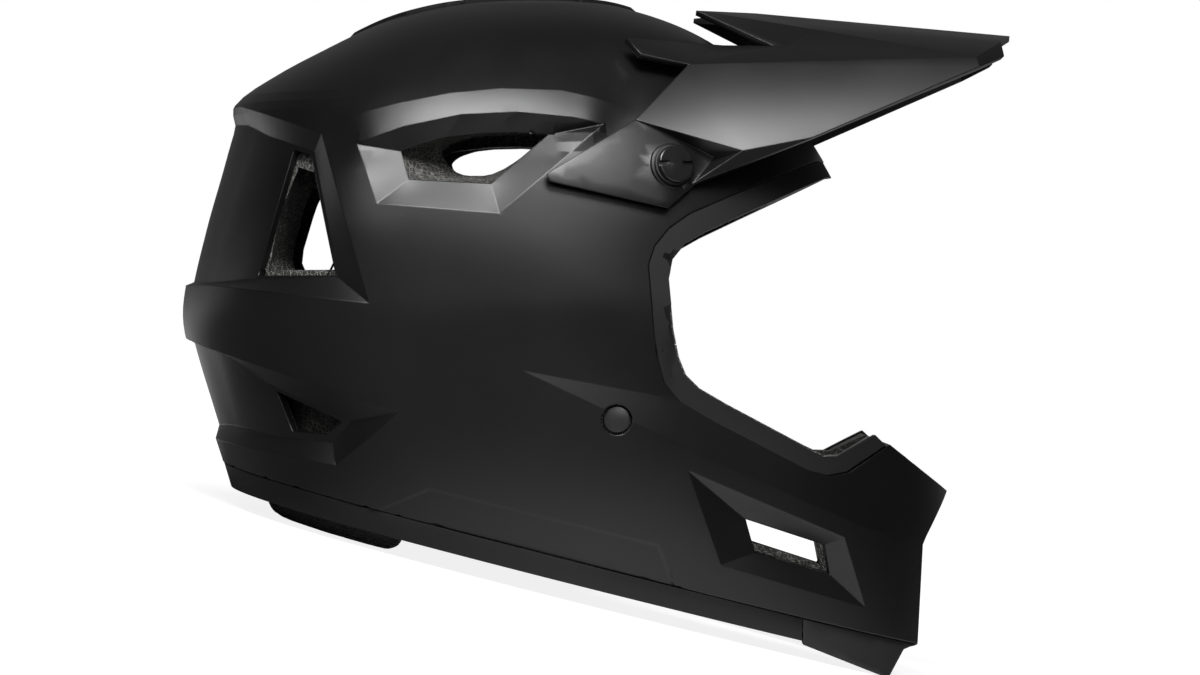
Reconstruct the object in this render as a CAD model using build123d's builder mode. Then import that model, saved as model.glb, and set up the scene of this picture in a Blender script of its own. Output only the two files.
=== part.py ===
from build123d import *
import math
import os

# Full-face downhill bike helmet, in millimetres, standing on its neck roll and its chin piece's tip.
# +X is forward, +Y is the wearer's left, +Z is up, and the floor is Z = 0.
# The head's own level frame leans nose-down from that by LEAN: u runs forward, v up and w sideways in it.

# Driving sizes of the shell
SHELL_LENGTH = 342.0  # belt's rear face to the chin ridge, along u
SHELL_HEIGHT = 303.0  # chin piece's tip to the crown, along v
HALF_WIDTH = 118.0  # middle to the widest point of the shell
LEAN = 14.6  # degrees from the level frame to the standing frame
SHELL_WALL = 3.0
SEAT_GAP = 0.3  # between pieces that lie face to face on curved seats
OVERRUN = 40.0  # how far a cutting shape runs past what it cuts

# Shell's plan at each level: height, rear end, widest place, front end and half width, as shares
FORM_SHARES = [
    (-0.150, 0.172, 0.340, 0.965, 0.745),
    (0.000, 0.134, 0.340, 0.985, 0.815),
    (0.140, 0.098, 0.340, 0.998, 0.880),
    (0.274, 0.064, 0.340, 1.003, 0.940),
    (0.380, 0.034, 0.340, 0.985, 0.975),
    (0.504, 0.002, 0.340, 0.948, 0.997),
    (0.556, 0.000, 0.340, 0.928, 1.000),
    (0.660, 0.020, 0.340, 0.884, 0.987),
    (0.740, 0.040, 0.342, 0.850, 0.948),
    (0.800, 0.055, 0.350, 0.818, 0.893),
    (0.846, 0.069, 0.368, 0.783, 0.830),
    (0.890, 0.125, 0.400, 0.742, 0.742),
    (0.925, 0.183, 0.430, 0.708, 0.652),
    (0.954, 0.235, 0.450, 0.664, 0.543),
    (0.981, 0.300, 0.460, 0.600, 0.380),
    (0.996, 0.385, 0.465, 0.530, 0.202),
]
EQUATOR_SHARE = 0.556  # level of the widest plan
BELT_SHARE = 0.578  # level of the belt's rearmost edge
PLAN_POINTS = 12  # points round each level's plan
REAR_POWER = 2.2  # superellipse power behind the widest place
FRONT_POWER = 2.15  # and ahead of it

# Chin's profile in side view, from the eyeport's front edge down to the rim
CHIN_SHARES = [(0.919, 0.345), (1.000, 0.274), (0.964, 0.200), (0.958, 0.051), (0.936, 0.020)]

# Rear recess between the tail fin and the belt: edge on the outside, edge of its floor, and the vent in it
RECESS_DEPTH = 7.0
RECESS_OUTER_SHARES = [(0.080, 0.838), (0.194, 0.792), (0.257, 0.549), (0.042, 0.572)]
RECESS_INNER_SHARES = [(0.072, 0.816), (0.186, 0.748), (0.219, 0.583), (0.041, 0.588)]
REAR_VENT_SHARES = [(0.163, 0.745), (0.184, 0.737), (0.211, 0.597), (0.125, 0.597), (0.138, 0.675)]

# Lower rear recess under the belt, and its vent
LOW_OUTER_SHARES = [(0.038, 0.497), (0.297, 0.395), (0.217, 0.321), (0.064, 0.368)]
LOW_INNER_SHARES = [(0.042, 0.486), (0.236, 0.385), (0.207, 0.349), (0.069, 0.370)]
LOW_VENT_SHARES = [(0.143, 0.420), (0.164, 0.362), (0.206, 0.353), (0.228, 0.383)]
LOW_VENT_DEPTH = 14.0  # how deep its pocket goes in the foam

# Side vent and chin vent: mouth on the outside, and throat at the bottom of the funnel
FUNNEL_DEPTH = 11.0
SIDE_MOUTH_SHARES = [
    (0.242, 0.773), (0.300, 0.796), (0.371, 0.813), (0.441, 0.817), (0.512, 0.810),
    (0.549, 0.802), (0.420, 0.676), (0.266, 0.690),
]
SIDE_THROAT_SHARES = [
    (0.296, 0.765), (0.324, 0.776), (0.352, 0.785), (0.400, 0.791), (0.440, 0.792),
    (0.480, 0.789), (0.409, 0.719), (0.306, 0.725),
]
CHIN_MOUTH_SHARES = [(0.657, 0.311), (0.858, 0.212), (0.886, 0.110), (0.699, 0.176)]
CHIN_THROAT_SHARES = [(0.731, 0.240), (0.833, 0.201), (0.840, 0.158), (0.743, 0.192)]

# Front intake through the chin, and its grille
INTAKE_HALF_WIDTH = 22.0
INTAKE_SHARES = (0.105, 0.190)
INTAKE_DEPTH = 50.0
GRILLE_SETBACK = 1.0
GRILLE_THICKNESS = 1.8
GRILLE_SLOTS = 5
GRILLE_BAR = 2.4
GRILLE_EDGE = 2.5

# Eyeport: where the shell ends, from the brow round to the chin, and the opening that its trim leaves
EYEPORT_SHARES = [
    (0.829, 0.760), (0.719, 0.707), (0.659, 0.677), (0.633, 0.656), (0.615, 0.631), (0.607, 0.604),
    (0.614, 0.511), (0.619, 0.471), (0.628, 0.435), (0.648, 0.408), (0.694, 0.378),
    (0.812, 0.309), (0.838, 0.301), (0.865, 0.306), (0.919, 0.345),
]
APERTURE_SHARES = [
    (0.843, 0.737), (0.735, 0.681), (0.682, 0.653), (0.655, 0.636), (0.638, 0.612), (0.633, 0.584),
    (0.639, 0.511), (0.646, 0.472), (0.655, 0.447), (0.672, 0.428), (0.707, 0.405),
    (0.820, 0.337), (0.835, 0.329), (0.853, 0.329), (0.903, 0.360),
]
AHEAD_SHARE = 1.250  # side view's outlines close this far forward
EYE_TRIM_DEPTH = 9.0  # how far the eyeport's trim reaches into the wall
EYE_TRIM_SETBACK = 0.4  # its face behind the shell's

# Rim trim, chin piece and neck roll
RIM_TOP = 17.6  # parting line above the floor
RIM_BOTTOM = 7.6
RIM_FLANGE = 2.4  # thickness of the flange under the foam
RIM_DEPTH = 13.0  # how far in the flange reaches
PARTING_GAP = 0.4
CHIN_PIECE_SHARES = [
    (0.805, 0.250), (0.805, 0.058), (0.918, 0.004), (0.939, 0.045), (0.960, 0.053), (0.960, 0.250),
]
CHIN_NOSE_SHARE = 0.895  # ahead of here the chin piece is solid, and the foam stays above it
NECK_ROLL_INSETS = (14.0, 31.0)
NECK_ROLL_TOP = 26.0
NECK_ROLL_FRONT_SHARE = 0.300
NECK_ROLL_ROUND = 4.0

# Foam liner round the head cavity, in two pieces
FOAM_INSET = 32.0  # shell's outside to the foam's inside
FOAM_JOINT_SHARE = (0.640, 0.490)  # rear top corner of the chin-bar foam

# Comfort pads
PAD_THICKNESS = 8.0
PAD_GAP = 0.4
CROWN_PAD_HALF_WIDTH = 17.0
CROWN_PAD_SHARE = 0.760  # lowest level of the crown pad
CROWN_BAND_SHARES = (0.400, 0.490)
CROWN_BAND_FOOT_SHARE = 0.815
BROW_PAD_SHARES = (0.655, 0.735)
BROW_PAD_REAR_SHARE = 0.560
NAPE_PAD_SHARES = (0.420, 0.540)
NAPE_PAD_FRONT_SHARE = 0.200
CHEEK_SHARES = [
    (0.400, 0.480), (0.595, 0.470), (0.618, 0.430), (0.625, 0.300),
    (0.606, 0.112), (0.430, 0.165), (0.385, 0.300),
]
CHEEK_FACE = 60.0  # middle to the pad's inner face
CHEEK_CORNER = 8.0
CHEEK_ROUND = 6.0
CHEEK_SLOT_WIDTH = 26.0
CHEEK_SLOT_TOP = 36.0  # above the floor

# Snaps that hold the cheek pads
SNAP_RADIUS = 5.0
SNAP_SETBACK = 3.2  # seat's face below the foam's
SNAP_SEAT = 3.0
SNAP_STUD_RADIUS = 3.0
SNAP_STUD = 3.0  # how far its stud reaches into the pad
SNAP_CLEARANCE = 0.5
SNAP_SHARES = [(0.470, 0.435), (0.425, 0.255), (0.600, 0.220)]

# Chin strap: rivets, anchor plates, webbing and D-rings
RIVET_SHARE = (0.567, 0.384)
RIVET_HOLE = 6.7
RIVET_CAP = 5.6
RIVET_SETBACK = 1.6
RIVET_CAP_HEIGHT = 2.6
RIVET_SHANK = 2.6
ANCHOR_RADIUS = 8.5
ANCHOR_THICKNESS = 1.4
STRAP_WIDTH = 20.0
STRAP_THICKNESS = 1.8
STRAP_CHANNEL = 6.2  # depth of the strap's channel in the foam, at the rivet
STRAP_CLEARANCE = 1.0  # beside the webbing in its channel
STRAP_TAIL = 11.0  # webbing above the rivet
STRAP_HINGE_PLACE = 57.0  # middle to where the hanging loop starts
STRAP_HINGE_HEIGHT = 24.0
STRAP_BEND = 7.0
STRAP_SAG = 9.0  # rings' middle below the hinge
STRAP_FOOT = 40.0  # middle to the foot of each slope
D_RING_WIRE = 1.5  # its radius
D_RING_HALF_WIDTH = 12.5
D_RING_CORNER = 6.0
D_RING_REACH = 17.0
D_RING_PLACE = 34.0  # middle to the rings' straight bars
D_RING_GAP = 0.4  # between the rings, and round them
STRAP_END = 30.0  # middle to the loose end
STRAP_SNAP_RADIUS = 5.5
STRAP_SNAP_HEIGHT = 2.0
STRAP_SNAP_SETBACK = 8.0  # from the loose end

# Visor: its arms lie along the shell; the other corners are side-view shares and distances from the middle
PIVOT_SHARE = (0.636, 0.744)
VISOR_WALL = 2.6
VISOR_GAP = 1.8  # between the arms and the shell
ARM_SHARES = [
    (0.479, 0.732), (0.591, 0.811), (0.640, 0.786), (0.691, 0.757),
    (0.664, 0.716), (0.632, 0.684), (0.483, 0.721),
]
VISOR_CORNERS = {
    "fin_tip": ((0.580, 0.931), 78.0),
    "fin_foot": ((0.598, 0.907), 83.0),
    "wing_rear_top": ((0.659, 0.894), 74.0),
    "wing_rear_foot": ((0.591, 0.811), 97.0),
    "wing_notch": ((0.726, 0.767), 96.0),
    "arm_corner": ((0.686, 0.757), 87.0),
    "strip_foot": ((0.659, 0.717), 97.0),
    "wing_low_edge": ((0.817, 0.787), 90.0),
    "wing_tip_foot": ((1.035, 0.894), 53.0),
    "wing_tip_top": ((1.031, 0.909), 50.0),
    "nose_lip": ((1.070, 0.912), 36.0),
    "nose_side": ((1.067, 0.934), 30.0),
    "nose_middle": ((1.085, 0.948), 0.0),
    "deck_step": ((0.828, 0.952), 30.0),
    "deck_foot_front": ((0.787, 0.926), 42.0),
    "deck_foot_rear": ((0.770, 0.926), 42.0),
    "deck_horn": ((0.671, 0.980), 30.0),
    "deck_rear_middle": ((0.750, 0.982), 0.0),
    "wing_inner_rear": ((0.705, 0.926), 47.0),
}
VISOR_PANELS = [
    ("wing_rear_top", "wing_rear_foot", "wing_notch"),
    ("wing_rear_top", "wing_notch", "wing_low_edge"),
    ("wing_rear_top", "wing_low_edge", "wing_tip_foot"),
    ("wing_rear_top", "wing_tip_foot", "wing_tip_top"),
    ("wing_notch", "strip_foot", "wing_low_edge"),
    ("wing_rear_foot", "arm_corner", "wing_notch"),
    ("arm_corner", "strip_foot", "wing_notch"),
    ("fin_tip", "fin_foot", "wing_rear_top"),
    ("fin_tip", "wing_rear_top", "wing_inner_rear"),
    ("wing_inner_rear", "wing_rear_top", "deck_foot_rear"),
    ("deck_foot_rear", "wing_rear_top", "deck_foot_front"),
    ("deck_foot_front", "wing_rear_top", "wing_tip_top"),
    ("deck_foot_front", "wing_tip_top", "deck_step"),
    ("deck_step", "wing_tip_top", "nose_side"),
    ("wing_tip_top", "nose_lip", "nose_side"),
    ("wing_tip_top", "wing_tip_foot", "nose_lip"),
    ("deck_horn", "deck_foot_rear", "deck_foot_front"),
    ("deck_horn", "deck_foot_front", "deck_step"),
    ("deck_horn", "deck_step", "deck_rear_middle"),
    ("deck_step", "nose_side", "deck_rear_middle"),
    ("nose_side", "nose_middle", "deck_rear_middle"),
]

# Visor's screws, with their washers and their inserts in the foam
SCREW_TURN = 26.0  # degrees by which a screw faces forward
SCREW_RISE = 14.0  # and up
SCREW_HEAD = 8.2
SCREW_HEAD_HEIGHT = 2.6
SCREW_HEAD_ROUND = 1.0
SCREW_SHAFT = 2.5
SCREW_HOLE_GAP = 1.0  # round the shaft in the tilting arm
SCREW_END = 14.5  # shaft's end below the arm's face
SCREW_SLOT_WIDTH = 2.2
SCREW_SLOT_DEPTH = 1.2
SCREW_HUB = 3.0
BOSS_RADIUS = 10.0
BOSS_RISE = 1.3
BOSS_SINK = 1.4
WASHER_RADIUS = 8.9
WASHER_THICKNESS = 0.8
WASHER_FLOAT = 0.8  # above the boss, which tilts under it
INSERT_RADIUS = 5.5
INSERT_SETBACK = 1.4  # below the shell's inside
INSERT_LENGTH = 9.0
RUNNING_GAP = 0.1


def lean_place(u, v):
    """Standing-frame x and height of a level-frame point, before the origin is moved."""
    lean = math.radians(LEAN)
    return u * math.cos(lean) - v * math.sin(lean), u * math.sin(lean) + v * math.cos(lean)


def side(shares):
    """Side-view points given as shares of length and height, in millimetres of the level frame."""
    return [(u * SHELL_LENGTH, v * SHELL_HEIGHT) for u, v in shares]


# The origin is on the floor, under the middle between the belt's rear edge and the chin's foremost edge
belt_point, chin_point, tip_point = side([(0.0, BELT_SHARE), CHIN_SHARES[3], CHIN_PIECE_SHARES[2]])
origin_x = (lean_place(*belt_point)[0] + lean_place(*chin_point)[0]) / 2
origin_z = lean_place(*tip_point)[1]
forward = Vector(math.cos(math.radians(LEAN)), 0, math.sin(math.radians(LEAN)))
upward = Vector(-math.sin(math.radians(LEAN)), 0, math.cos(math.radians(LEAN)))


def level_point(u, v, w=0.0):
    """A point of the level frame in the standing frame."""
    x, z = lean_place(u, v)
    return Vector(x - origin_x, w, z - origin_z)


def share_point(share, w=0.0):
    """A point given by its side-view shares and its distance from the middle, in the standing frame."""
    return level_point(*side([share])[0], w)


def side_plane(w=0.0):
    """The side view's plane at a distance from the middle, facing the wearer's right."""
    return Plane(origin=level_point(0, 0, w), x_dir=forward, z_dir=(0, -1, 0))


def plan_at(v_share):
    """Rear end, widest place, front end and half width of the form at a level, between the table's levels."""
    for low, high in zip(FORM_SHARES, FORM_SHARES[1:]):
        if v_share <= high[0]:
            break
    t = (v_share - low[0]) / (high[0] - low[0])
    rear, widest, front, width = (low[i] + t * (high[i] - low[i]) for i in range(1, 5))
    return rear * SHELL_LENGTH, widest * SHELL_LENGTH, front * SHELL_LENGTH, width * HALF_WIDTH


def half_width_at(share, inset=0.0):
    """Distance from the middle to the plain form, set in by inset below its equator, at a side-view place."""
    rear, widest, front, width = plan_at(share[1])
    u = share[0] * SHELL_LENGTH
    reach, power = (front - widest, FRONT_POWER) if u > widest else (widest - rear, REAR_POWER)
    return (width - inset) * (1 - min(1.0, abs(u - widest) / (reach - inset)) ** power) ** (1 / power)


def plan_points(rear, widest, front, width):
    """Points round one level's plan: a superellipse behind the widest place and another ahead of it."""
    points = []
    for i in range(PLAN_POINTS):
        c, s = math.cos(2 * math.pi * i / PLAN_POINTS), math.sin(2 * math.pi * i / PLAN_POINTS)
        reach, power = (front - widest, FRONT_POWER) if c > 0 else (widest - rear, REAR_POWER)
        u = math.copysign(reach * abs(c) ** (2 / power), c)
        points.append((widest + u, math.copysign(width * abs(s) ** (2 / power), s)))
    return points


def helmet_form(inset):
    """The plain closed form of the helmet, set in all round by inset."""
    equator = plan_at(EQUATOR_SHARE)
    rear_reach, front_reach = equator[1] - equator[0], equator[2] - equator[1]
    with BuildPart() as form:
        for v_share, *_ in FORM_SHARES:
            rear, widest, front, width = plan_at(v_share)
            rise = (v_share - EQUATOR_SHARE) * SHELL_HEIGHT
            if rise > 0:
                rise *= 1 - inset / ((1 - EQUATOR_SHARE) * SHELL_HEIGHT)
                rear = widest - (widest - rear) * (1 - inset / rear_reach)
                front = widest + (front - widest) * (1 - inset / front_reach)
                width *= 1 - inset / HALF_WIDTH
            else:
                rear, front, width = rear + inset, front - inset, width - inset
            height = EQUATOR_SHARE * SHELL_HEIGHT + rise
            with BuildSketch(Plane(origin=level_point(0, height), x_dir=forward, z_dir=upward)):
                with BuildLine():
                    Spline(*plan_points(rear, widest, front, width), periodic=True)
                make_face()
        loft()
    return form.part


def grown(points, amount):
    """A side-view outline moved outwards by amount, with its corners kept."""
    area = sum(a[0] * b[1] - b[0] * a[1] for a, b in zip(points, points[1:] + points[:1]))
    turn = math.copysign(1, area)
    moved = []
    for before, here, after in zip(points[-1:] + points[:-1], points, points[1:] + points[:1]):
        (ax, ay), (bx, by) = (
            (turn * (b[1] - a[1]) / math.dist(a, b), -turn * (b[0] - a[0]) / math.dist(a, b))
            for a, b in ((before, here), (here, after))
        )
        spread = 1 + ax * bx + ay * by
        moved.append((here[0] + amount * (ax + bx) / spread, here[1] + amount * (ay + by) / spread))
    return moved


def prism(points, reach=HALF_WIDTH + OVERRUN):
    """The side-view outline carried reach to each side of the middle."""
    with BuildPart() as carried:
        with BuildSketch(side_plane()):
            with BuildLine():
                Polyline(*points, close=True)
            make_face()
        extrude(amount=reach, both=True)
    return carried.part


def strip(rear, bottom, front, top, reach=HALF_WIDTH + OVERRUN):
    """A side-view rectangle in level millimetres, carried reach to each side of the middle."""
    return prism([(rear, bottom), (front, bottom), (front, top), (rear, top)], reach)


def slab(bottom, top):
    """All of the space between two heights above the floor."""
    with BuildPart() as layer:
        with BuildSketch(Plane.XY.offset(bottom)):
            Rectangle(2 * SHELL_LENGTH, 4 * HALF_WIDTH)
        extrude(amount=top - bottom)
    return layer.part


def faceted(faces):
    """The closed solid inside the given corner lists, each one flat face."""
    skin = Solid(Shell([Face(Wire.make_polygon(corners)) for corners in faces]))
    if skin.volume < 0:
        skin = Solid(Shell([Face(Wire.make_polygon(corners[::-1])) for corners in faces]))
    return skin


def ringed(rings):
    """A closed solid through rings of equally many corners, with flat triangles between them."""
    faces = [rings[0], rings[-1][::-1]]
    for ring, following in zip(rings, rings[1:]):
        for i in range(len(ring)):
            a, b = ring[i], ring[(i + 1) % len(ring)]
            c, d = following[(i + 1) % len(ring)], following[i]
            faces += [[a, c, b], [a, d, c]]
    return faceted(faces)


def funnel(mouth_shares, throat_shares, inset, hand):
    """The tapered cut of a vent: its mouth follows the outside and its throat lies FUNNEL_DEPTH in."""
    mouth, throat = grown(side(mouth_shares), inset), grown(side(throat_shares), inset)
    skin = [half_width_at(share) - inset for share in mouth_shares]
    floor = [half_width_at(share) - FUNNEL_DEPTH - inset for share in throat_shares]
    return ringed([
        [level_point(u, v, hand * (HALF_WIDTH + OVERRUN)) for u, v in mouth],
        [level_point(u, v, hand * w) for (u, v), w in zip(mouth, skin)],
        [level_point(u, v, hand * min(floor)) for u, v in throat],
    ])


def recess_bands(outer_shares, inner_shares, inset):
    """A band of the rear, cut right through, with edges that slope in towards its floor."""
    rings = [side(outer_shares), side(inner_shares)]
    for ring in rings:
        ring.insert(0, (-OVERRUN, ring[0][1]))
        ring.append((-OVERRUN, ring[-1][1]))
    outer, inner = (grown(ring, inset) for ring in rings)
    bands = [prism(inner)]
    places = [(outer, HALF_WIDTH + OVERRUN), (outer, HALF_WIDTH - RECESS_DEPTH), (inner, HALF_WIDTH - OVERRUN)]
    for hand in (1, -1):
        bands.append(ringed([[level_point(u, v, hand * w) for u, v in ring] for ring, w in places]))
    return bands


def ahead_of_chin(inset):
    """Everything ahead of the chin's profile and above its ridge."""
    chin = side(CHIN_SHARES)
    (top_u, top_v), (low_u, low_v) = chin[0], chin[-1]
    far = AHEAD_SHARE * SHELL_LENGTH
    loop = [*chin, (low_u, low_v - OVERRUN), (far, low_v - OVERRUN), (far, top_v + OVERRUN)]
    return prism(grown([*loop, (top_u - OVERRUN, top_v + OVERRUN)], inset))


def featured_form(inset):
    """The helmet's form with its recesses, funnels and chin facets, all set in by inset."""
    bands = recess_bands(RECESS_OUTER_SHARES, RECESS_INNER_SHARES, inset)
    bands += recess_bands(LOW_OUTER_SHARES, LOW_INNER_SHARES, inset)
    floor = helmet_form(RECESS_DEPTH + inset)
    cuts = [band - floor for band in bands]
    cuts.append(ahead_of_chin(inset))
    for hand in (1, -1):
        cuts.append(funnel(SIDE_MOUTH_SHARES, SIDE_THROAT_SHARES, inset, hand))
        cuts.append(funnel(CHIN_MOUTH_SHARES, CHIN_THROAT_SHARES, inset, hand))
    plain = helmet_form(inset)
    with BuildPart() as form:
        add(plain)
        add(cuts, mode=Mode.SUBTRACT)
    return form.part


def front_closed(shares):
    """An eyeport outline closed well ahead of the helmet."""
    return side([*shares, (AHEAD_SHARE, shares[-1][1]), (AHEAD_SHARE, shares[0][1])])


def disc(plane, radius, length):
    """A round bar from the plane, along its normal."""
    with BuildPart() as bar:
        with BuildSketch(plane):
            Circle(radius)
        extrude(amount=length)
    return bar.part


def outward(place, y, hand):
    """A plane square to Y at a place of the side view, y from the middle and facing out on that side."""
    return Plane(origin=(place.X, hand * y, place.Z), x_dir=(1, 0, 0), z_dir=(0, hand, 0))


def screw_plane(hand, depth=0.0):
    """Plane square to a visor screw, depth below the arm's face."""
    turn, rise = math.radians(SCREW_TURN), math.radians(SCREW_RISE)
    out = forward * (math.sin(turn) * math.cos(rise)) + upward * math.sin(rise)
    out += Vector(0, hand * math.cos(turn) * math.cos(rise), 0)
    face = share_point(PIVOT_SHARE, hand * (half_width_at(PIVOT_SHARE) + VISOR_GAP + VISOR_WALL))
    return Plane(origin=face - out * depth, x_dir=upward.cross(out).normalized(), z_dir=out)


def webbing(points, radii):
    """Flat webbing along a path of distances from the middle and heights, its width along X."""
    with BuildPart() as strap:
        with BuildLine(Plane(origin=(rivet_point.X, 0, 0), x_dir=(0, 1, 0), z_dir=(1, 0, 0))) as path:
            FilletPolyline(*points, radius=radii)
        with BuildSketch(Plane(origin=path.line @ 0, x_dir=(1, 0, 0), z_dir=path.line % 0)):
            Rectangle(STRAP_WIDTH, STRAP_THICKNESS)
        sweep(path=path.line)
    return strap.part


def folded_sheet(corners, panels, wall):
    """A closed solid between a skin of triangles and the same skin moved inwards by wall.

    Corners on the middle plane stay on it, so that the two halves of the visor meet face to face."""
    normals = {name: Vector(0, 0, 0) for name in corners}
    edges = set()
    for panel in panels:
        a, b, c = (corners[name] for name in panel)
        square = (b - a).cross(c - a).normalized()
        for name in panel:
            normals[name] += square
        edges.update(zip(panel, panel[1:] + panel[:1]))
    for name, corner in corners.items():
        if corner.Y == 0:
            normals[name] = Vector(normals[name].X, 0, normals[name].Z)
    inner = {name: corners[name] - normals[name].normalized() * wall for name in corners}
    faces = [[corners[name] for name in panel] for panel in panels]
    faces += [[inner[name] for name in panel[::-1]] for panel in panels]
    for start, end in edges:
        if (end, start) not in edges:
            faces.append([corners[end], corners[start], inner[start]])
            faces.append([corners[end], inner[start], inner[end]])
    return faceted(faces)


os.makedirs("parts", exist_ok=True)
hands = {"left": 1, "right": -1}

# Shared spaces and places
eyeport = front_closed(EYEPORT_SHARES)
aperture = front_closed(APERTURE_SHARES)
foam_bottom = RIM_BOTTOM + RIM_FLANGE + SEAT_GAP
chin_front = CHIN_SHARES[3][0] * SHELL_LENGTH
intake_low, intake_high = (share * SHELL_HEIGHT for share in INTAKE_SHARES)
intake = strip(chin_front - INTAKE_DEPTH, intake_low, chin_front + OVERRUN, intake_high, INTAKE_HALF_WIDTH)
throats = [prism(side(shares)) for shares in (REAR_VENT_SHARES, SIDE_THROAT_SHARES, CHIN_THROAT_SHARES)]
low_vent = prism(side(LOW_VENT_SHARES))
rivet_point = share_point(RIVET_SHARE)
rivet_face = half_width_at(RIVET_SHARE) - RIVET_SETBACK
foam_face = half_width_at(RIVET_SHARE, FOAM_INSET)
strap_line = foam_face + STRAP_CHANNEL - SEAT_GAP - STRAP_THICKNESS / 2  # webbing's middle in its channel
anchor_face = strap_line - STRAP_THICKNESS / 2 - ANCHOR_THICKNESS
insert_depth = VISOR_WALL + VISOR_GAP + SHELL_WALL + INSERT_SETBACK

# Outer shell
shell_outside = featured_form(0)
shell_inside = featured_form(SHELL_WALL)
shell_openings = [slab(-SHELL_HEIGHT, RIM_TOP), prism(eyeport), low_vent, intake, *throats]
for hand in hands.values():
    shell_openings.append(disc(outward(rivet_point, rivet_face - OVERRUN, hand), RIVET_HOLE, 2 * OVERRUN))
    shell_openings.append(disc(screw_plane(hand, OVERRUN), SCREW_SHAFT + SEAT_GAP, 2 * OVERRUN))
with BuildPart() as outer_shell:
    add(shell_outside)
    add(shell_inside, mode=Mode.SUBTRACT)
    add(shell_openings, mode=Mode.SUBTRACT)
outer_shell.part.label = "outer_shell"
export_step(outer_shell.part, "parts/outer_shell.step")

# Foam liner, crown and chin bar, cut from one space
foam_outside = featured_form(SHELL_WALL + SEAT_GAP)
cavity = helmet_form(FOAM_INSET)
trim_back = helmet_form(EYE_TRIM_SETBACK + EYE_TRIM_DEPTH + SEAT_GAP)
vent_floor = helmet_form(RECESS_DEPTH + LOW_VENT_DEPTH)
roll_space = helmet_form(NECK_ROLL_INSETS[0] - SEAT_GAP)
roll_front = NECK_ROLL_FRONT_SHARE * SHELL_LENGTH + SEAT_GAP
roll_layer = slab(-SHELL_HEIGHT, NECK_ROLL_TOP + SEAT_GAP)
roll_strip = strip(-OVERRUN, -SHELL_HEIGHT, roll_front, SHELL_HEIGHT)
foam_cuts = [cavity, slab(-SHELL_HEIGHT, foam_bottom), prism(aperture), intake, *throats]
foam_cuts.append(prism(grown(eyeport, SEAT_GAP)) - trim_back)
foam_cuts.append(low_vent - vent_floor)
nose_strip = strip(CHIN_NOSE_SHARE * SHELL_LENGTH, -SHELL_HEIGHT, AHEAD_SHARE * SHELL_LENGTH, SHELL_HEIGHT)
foam_cuts.append(slab(-SHELL_HEIGHT, RIM_TOP) & nose_strip)
foam_cuts.append(roll_space & roll_layer & roll_strip)
strap_top = rivet_point.Z + STRAP_TAIL + STRAP_CLEARANCE
cap_seat = rivet_face - RIVET_CAP_HEIGHT - SEAT_GAP
insert_end = insert_depth + INSERT_LENGTH
for hand in hands.values():
    foam_cuts.append(disc(outward(rivet_point, cap_seat, hand), RIVET_HOLE, OVERRUN))
    foam_cuts.append(disc(outward(rivet_point, 0, hand), RIVET_SHANK + SEAT_GAP, rivet_face))
    foam_cuts.append(disc(screw_plane(hand, insert_end + SEAT_GAP), INSERT_RADIUS + SEAT_GAP, OVERRUN))
    with BuildPart() as channel:
        with BuildSketch(outward(rivet_point, 0, hand)):
            with Locations((0, hand * (rivet_point.Z - strap_top / 2))):
                Rectangle(STRAP_WIDTH + 2 * STRAP_CLEARANCE, strap_top)
        extrude(amount=foam_face + STRAP_CHANNEL)
    foam_cuts.append(channel.part)
    for share in SNAP_SHARES:
        seat = outward(share_point(share), 0, hand)
        seat_depth = half_width_at(share, FOAM_INSET) + SNAP_SETBACK + SNAP_SEAT + SEAT_GAP
        foam_cuts.append(disc(seat, SNAP_RADIUS + SEAT_GAP, seat_depth))
foam_joint = side([FOAM_JOINT_SHARE])[0]
chin_bar = [
    (foam_joint[0], -SHELL_HEIGHT),
    foam_joint,
    (AHEAD_SHARE * SHELL_LENGTH, foam_joint[1]),
    (AHEAD_SHARE * SHELL_LENGTH, -SHELL_HEIGHT),
]
foam_pieces = {
    "crown_foam": (prism(grown(chin_bar, SEAT_GAP)), Mode.SUBTRACT),
    "chin_bar_foam": (prism(chin_bar), Mode.INTERSECT),
}
with BuildPart() as foam:
    add(foam_outside)
    add(foam_cuts, mode=Mode.SUBTRACT)
for name, (space, mode) in foam_pieces.items():
    with BuildPart() as piece:
        add(foam.part)
        add(space, mode=mode)
    piece.part.label = name
    export_step(piece.part, f"parts/{name}.step")

# Eyeport trim: fills the band between the shell's edge and the aperture
with BuildPart() as eyeport_trim:
    add(prism(grown(eyeport, -SEAT_GAP)))
    add(prism(aperture), mode=Mode.SUBTRACT)
    add(helmet_form(EYE_TRIM_SETBACK), mode=Mode.INTERSECT)
    add([helmet_form(EYE_TRIM_SETBACK + EYE_TRIM_DEPTH), ahead_of_chin(EYE_TRIM_SETBACK)], mode=Mode.SUBTRACT)
eyeport_trim.part.label = "eyeport_trim"
export_step(eyeport_trim.part, "parts/eyeport_trim.step")

# Rim trim round the neck opening, and the chin piece that carries it on in front
rim_split = CHIN_PIECE_SHARES[0][0] * SHELL_LENGTH
rim_layer = slab(RIM_BOTTOM, RIM_TOP - PARTING_GAP)
above_flange = slab(RIM_BOTTOM + RIM_FLANGE, RIM_TOP)
behind_nose = strip(-OVERRUN, -SHELL_HEIGHT, CHIN_NOSE_SHARE * SHELL_LENGTH, SHELL_HEIGHT)
behind_wall = helmet_form(SHELL_WALL) & above_flange & behind_nose
inside_flange = helmet_form(RIM_DEPTH) & slab(-RIM_DEPTH, RIM_TOP) & behind_nose
whole_form = helmet_form(0)
with BuildPart() as rim_trim:
    add(whole_form)
    add(rim_layer, mode=Mode.INTERSECT)
    split_front = strip(rim_split - PARTING_GAP, -SHELL_HEIGHT, AHEAD_SHARE * SHELL_LENGTH, SHELL_HEIGHT)
    add([behind_wall, inside_flange, split_front], mode=Mode.SUBTRACT)
rim_trim.part.label = "rim_trim"
export_step(rim_trim.part, "parts/rim_trim.step")

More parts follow.
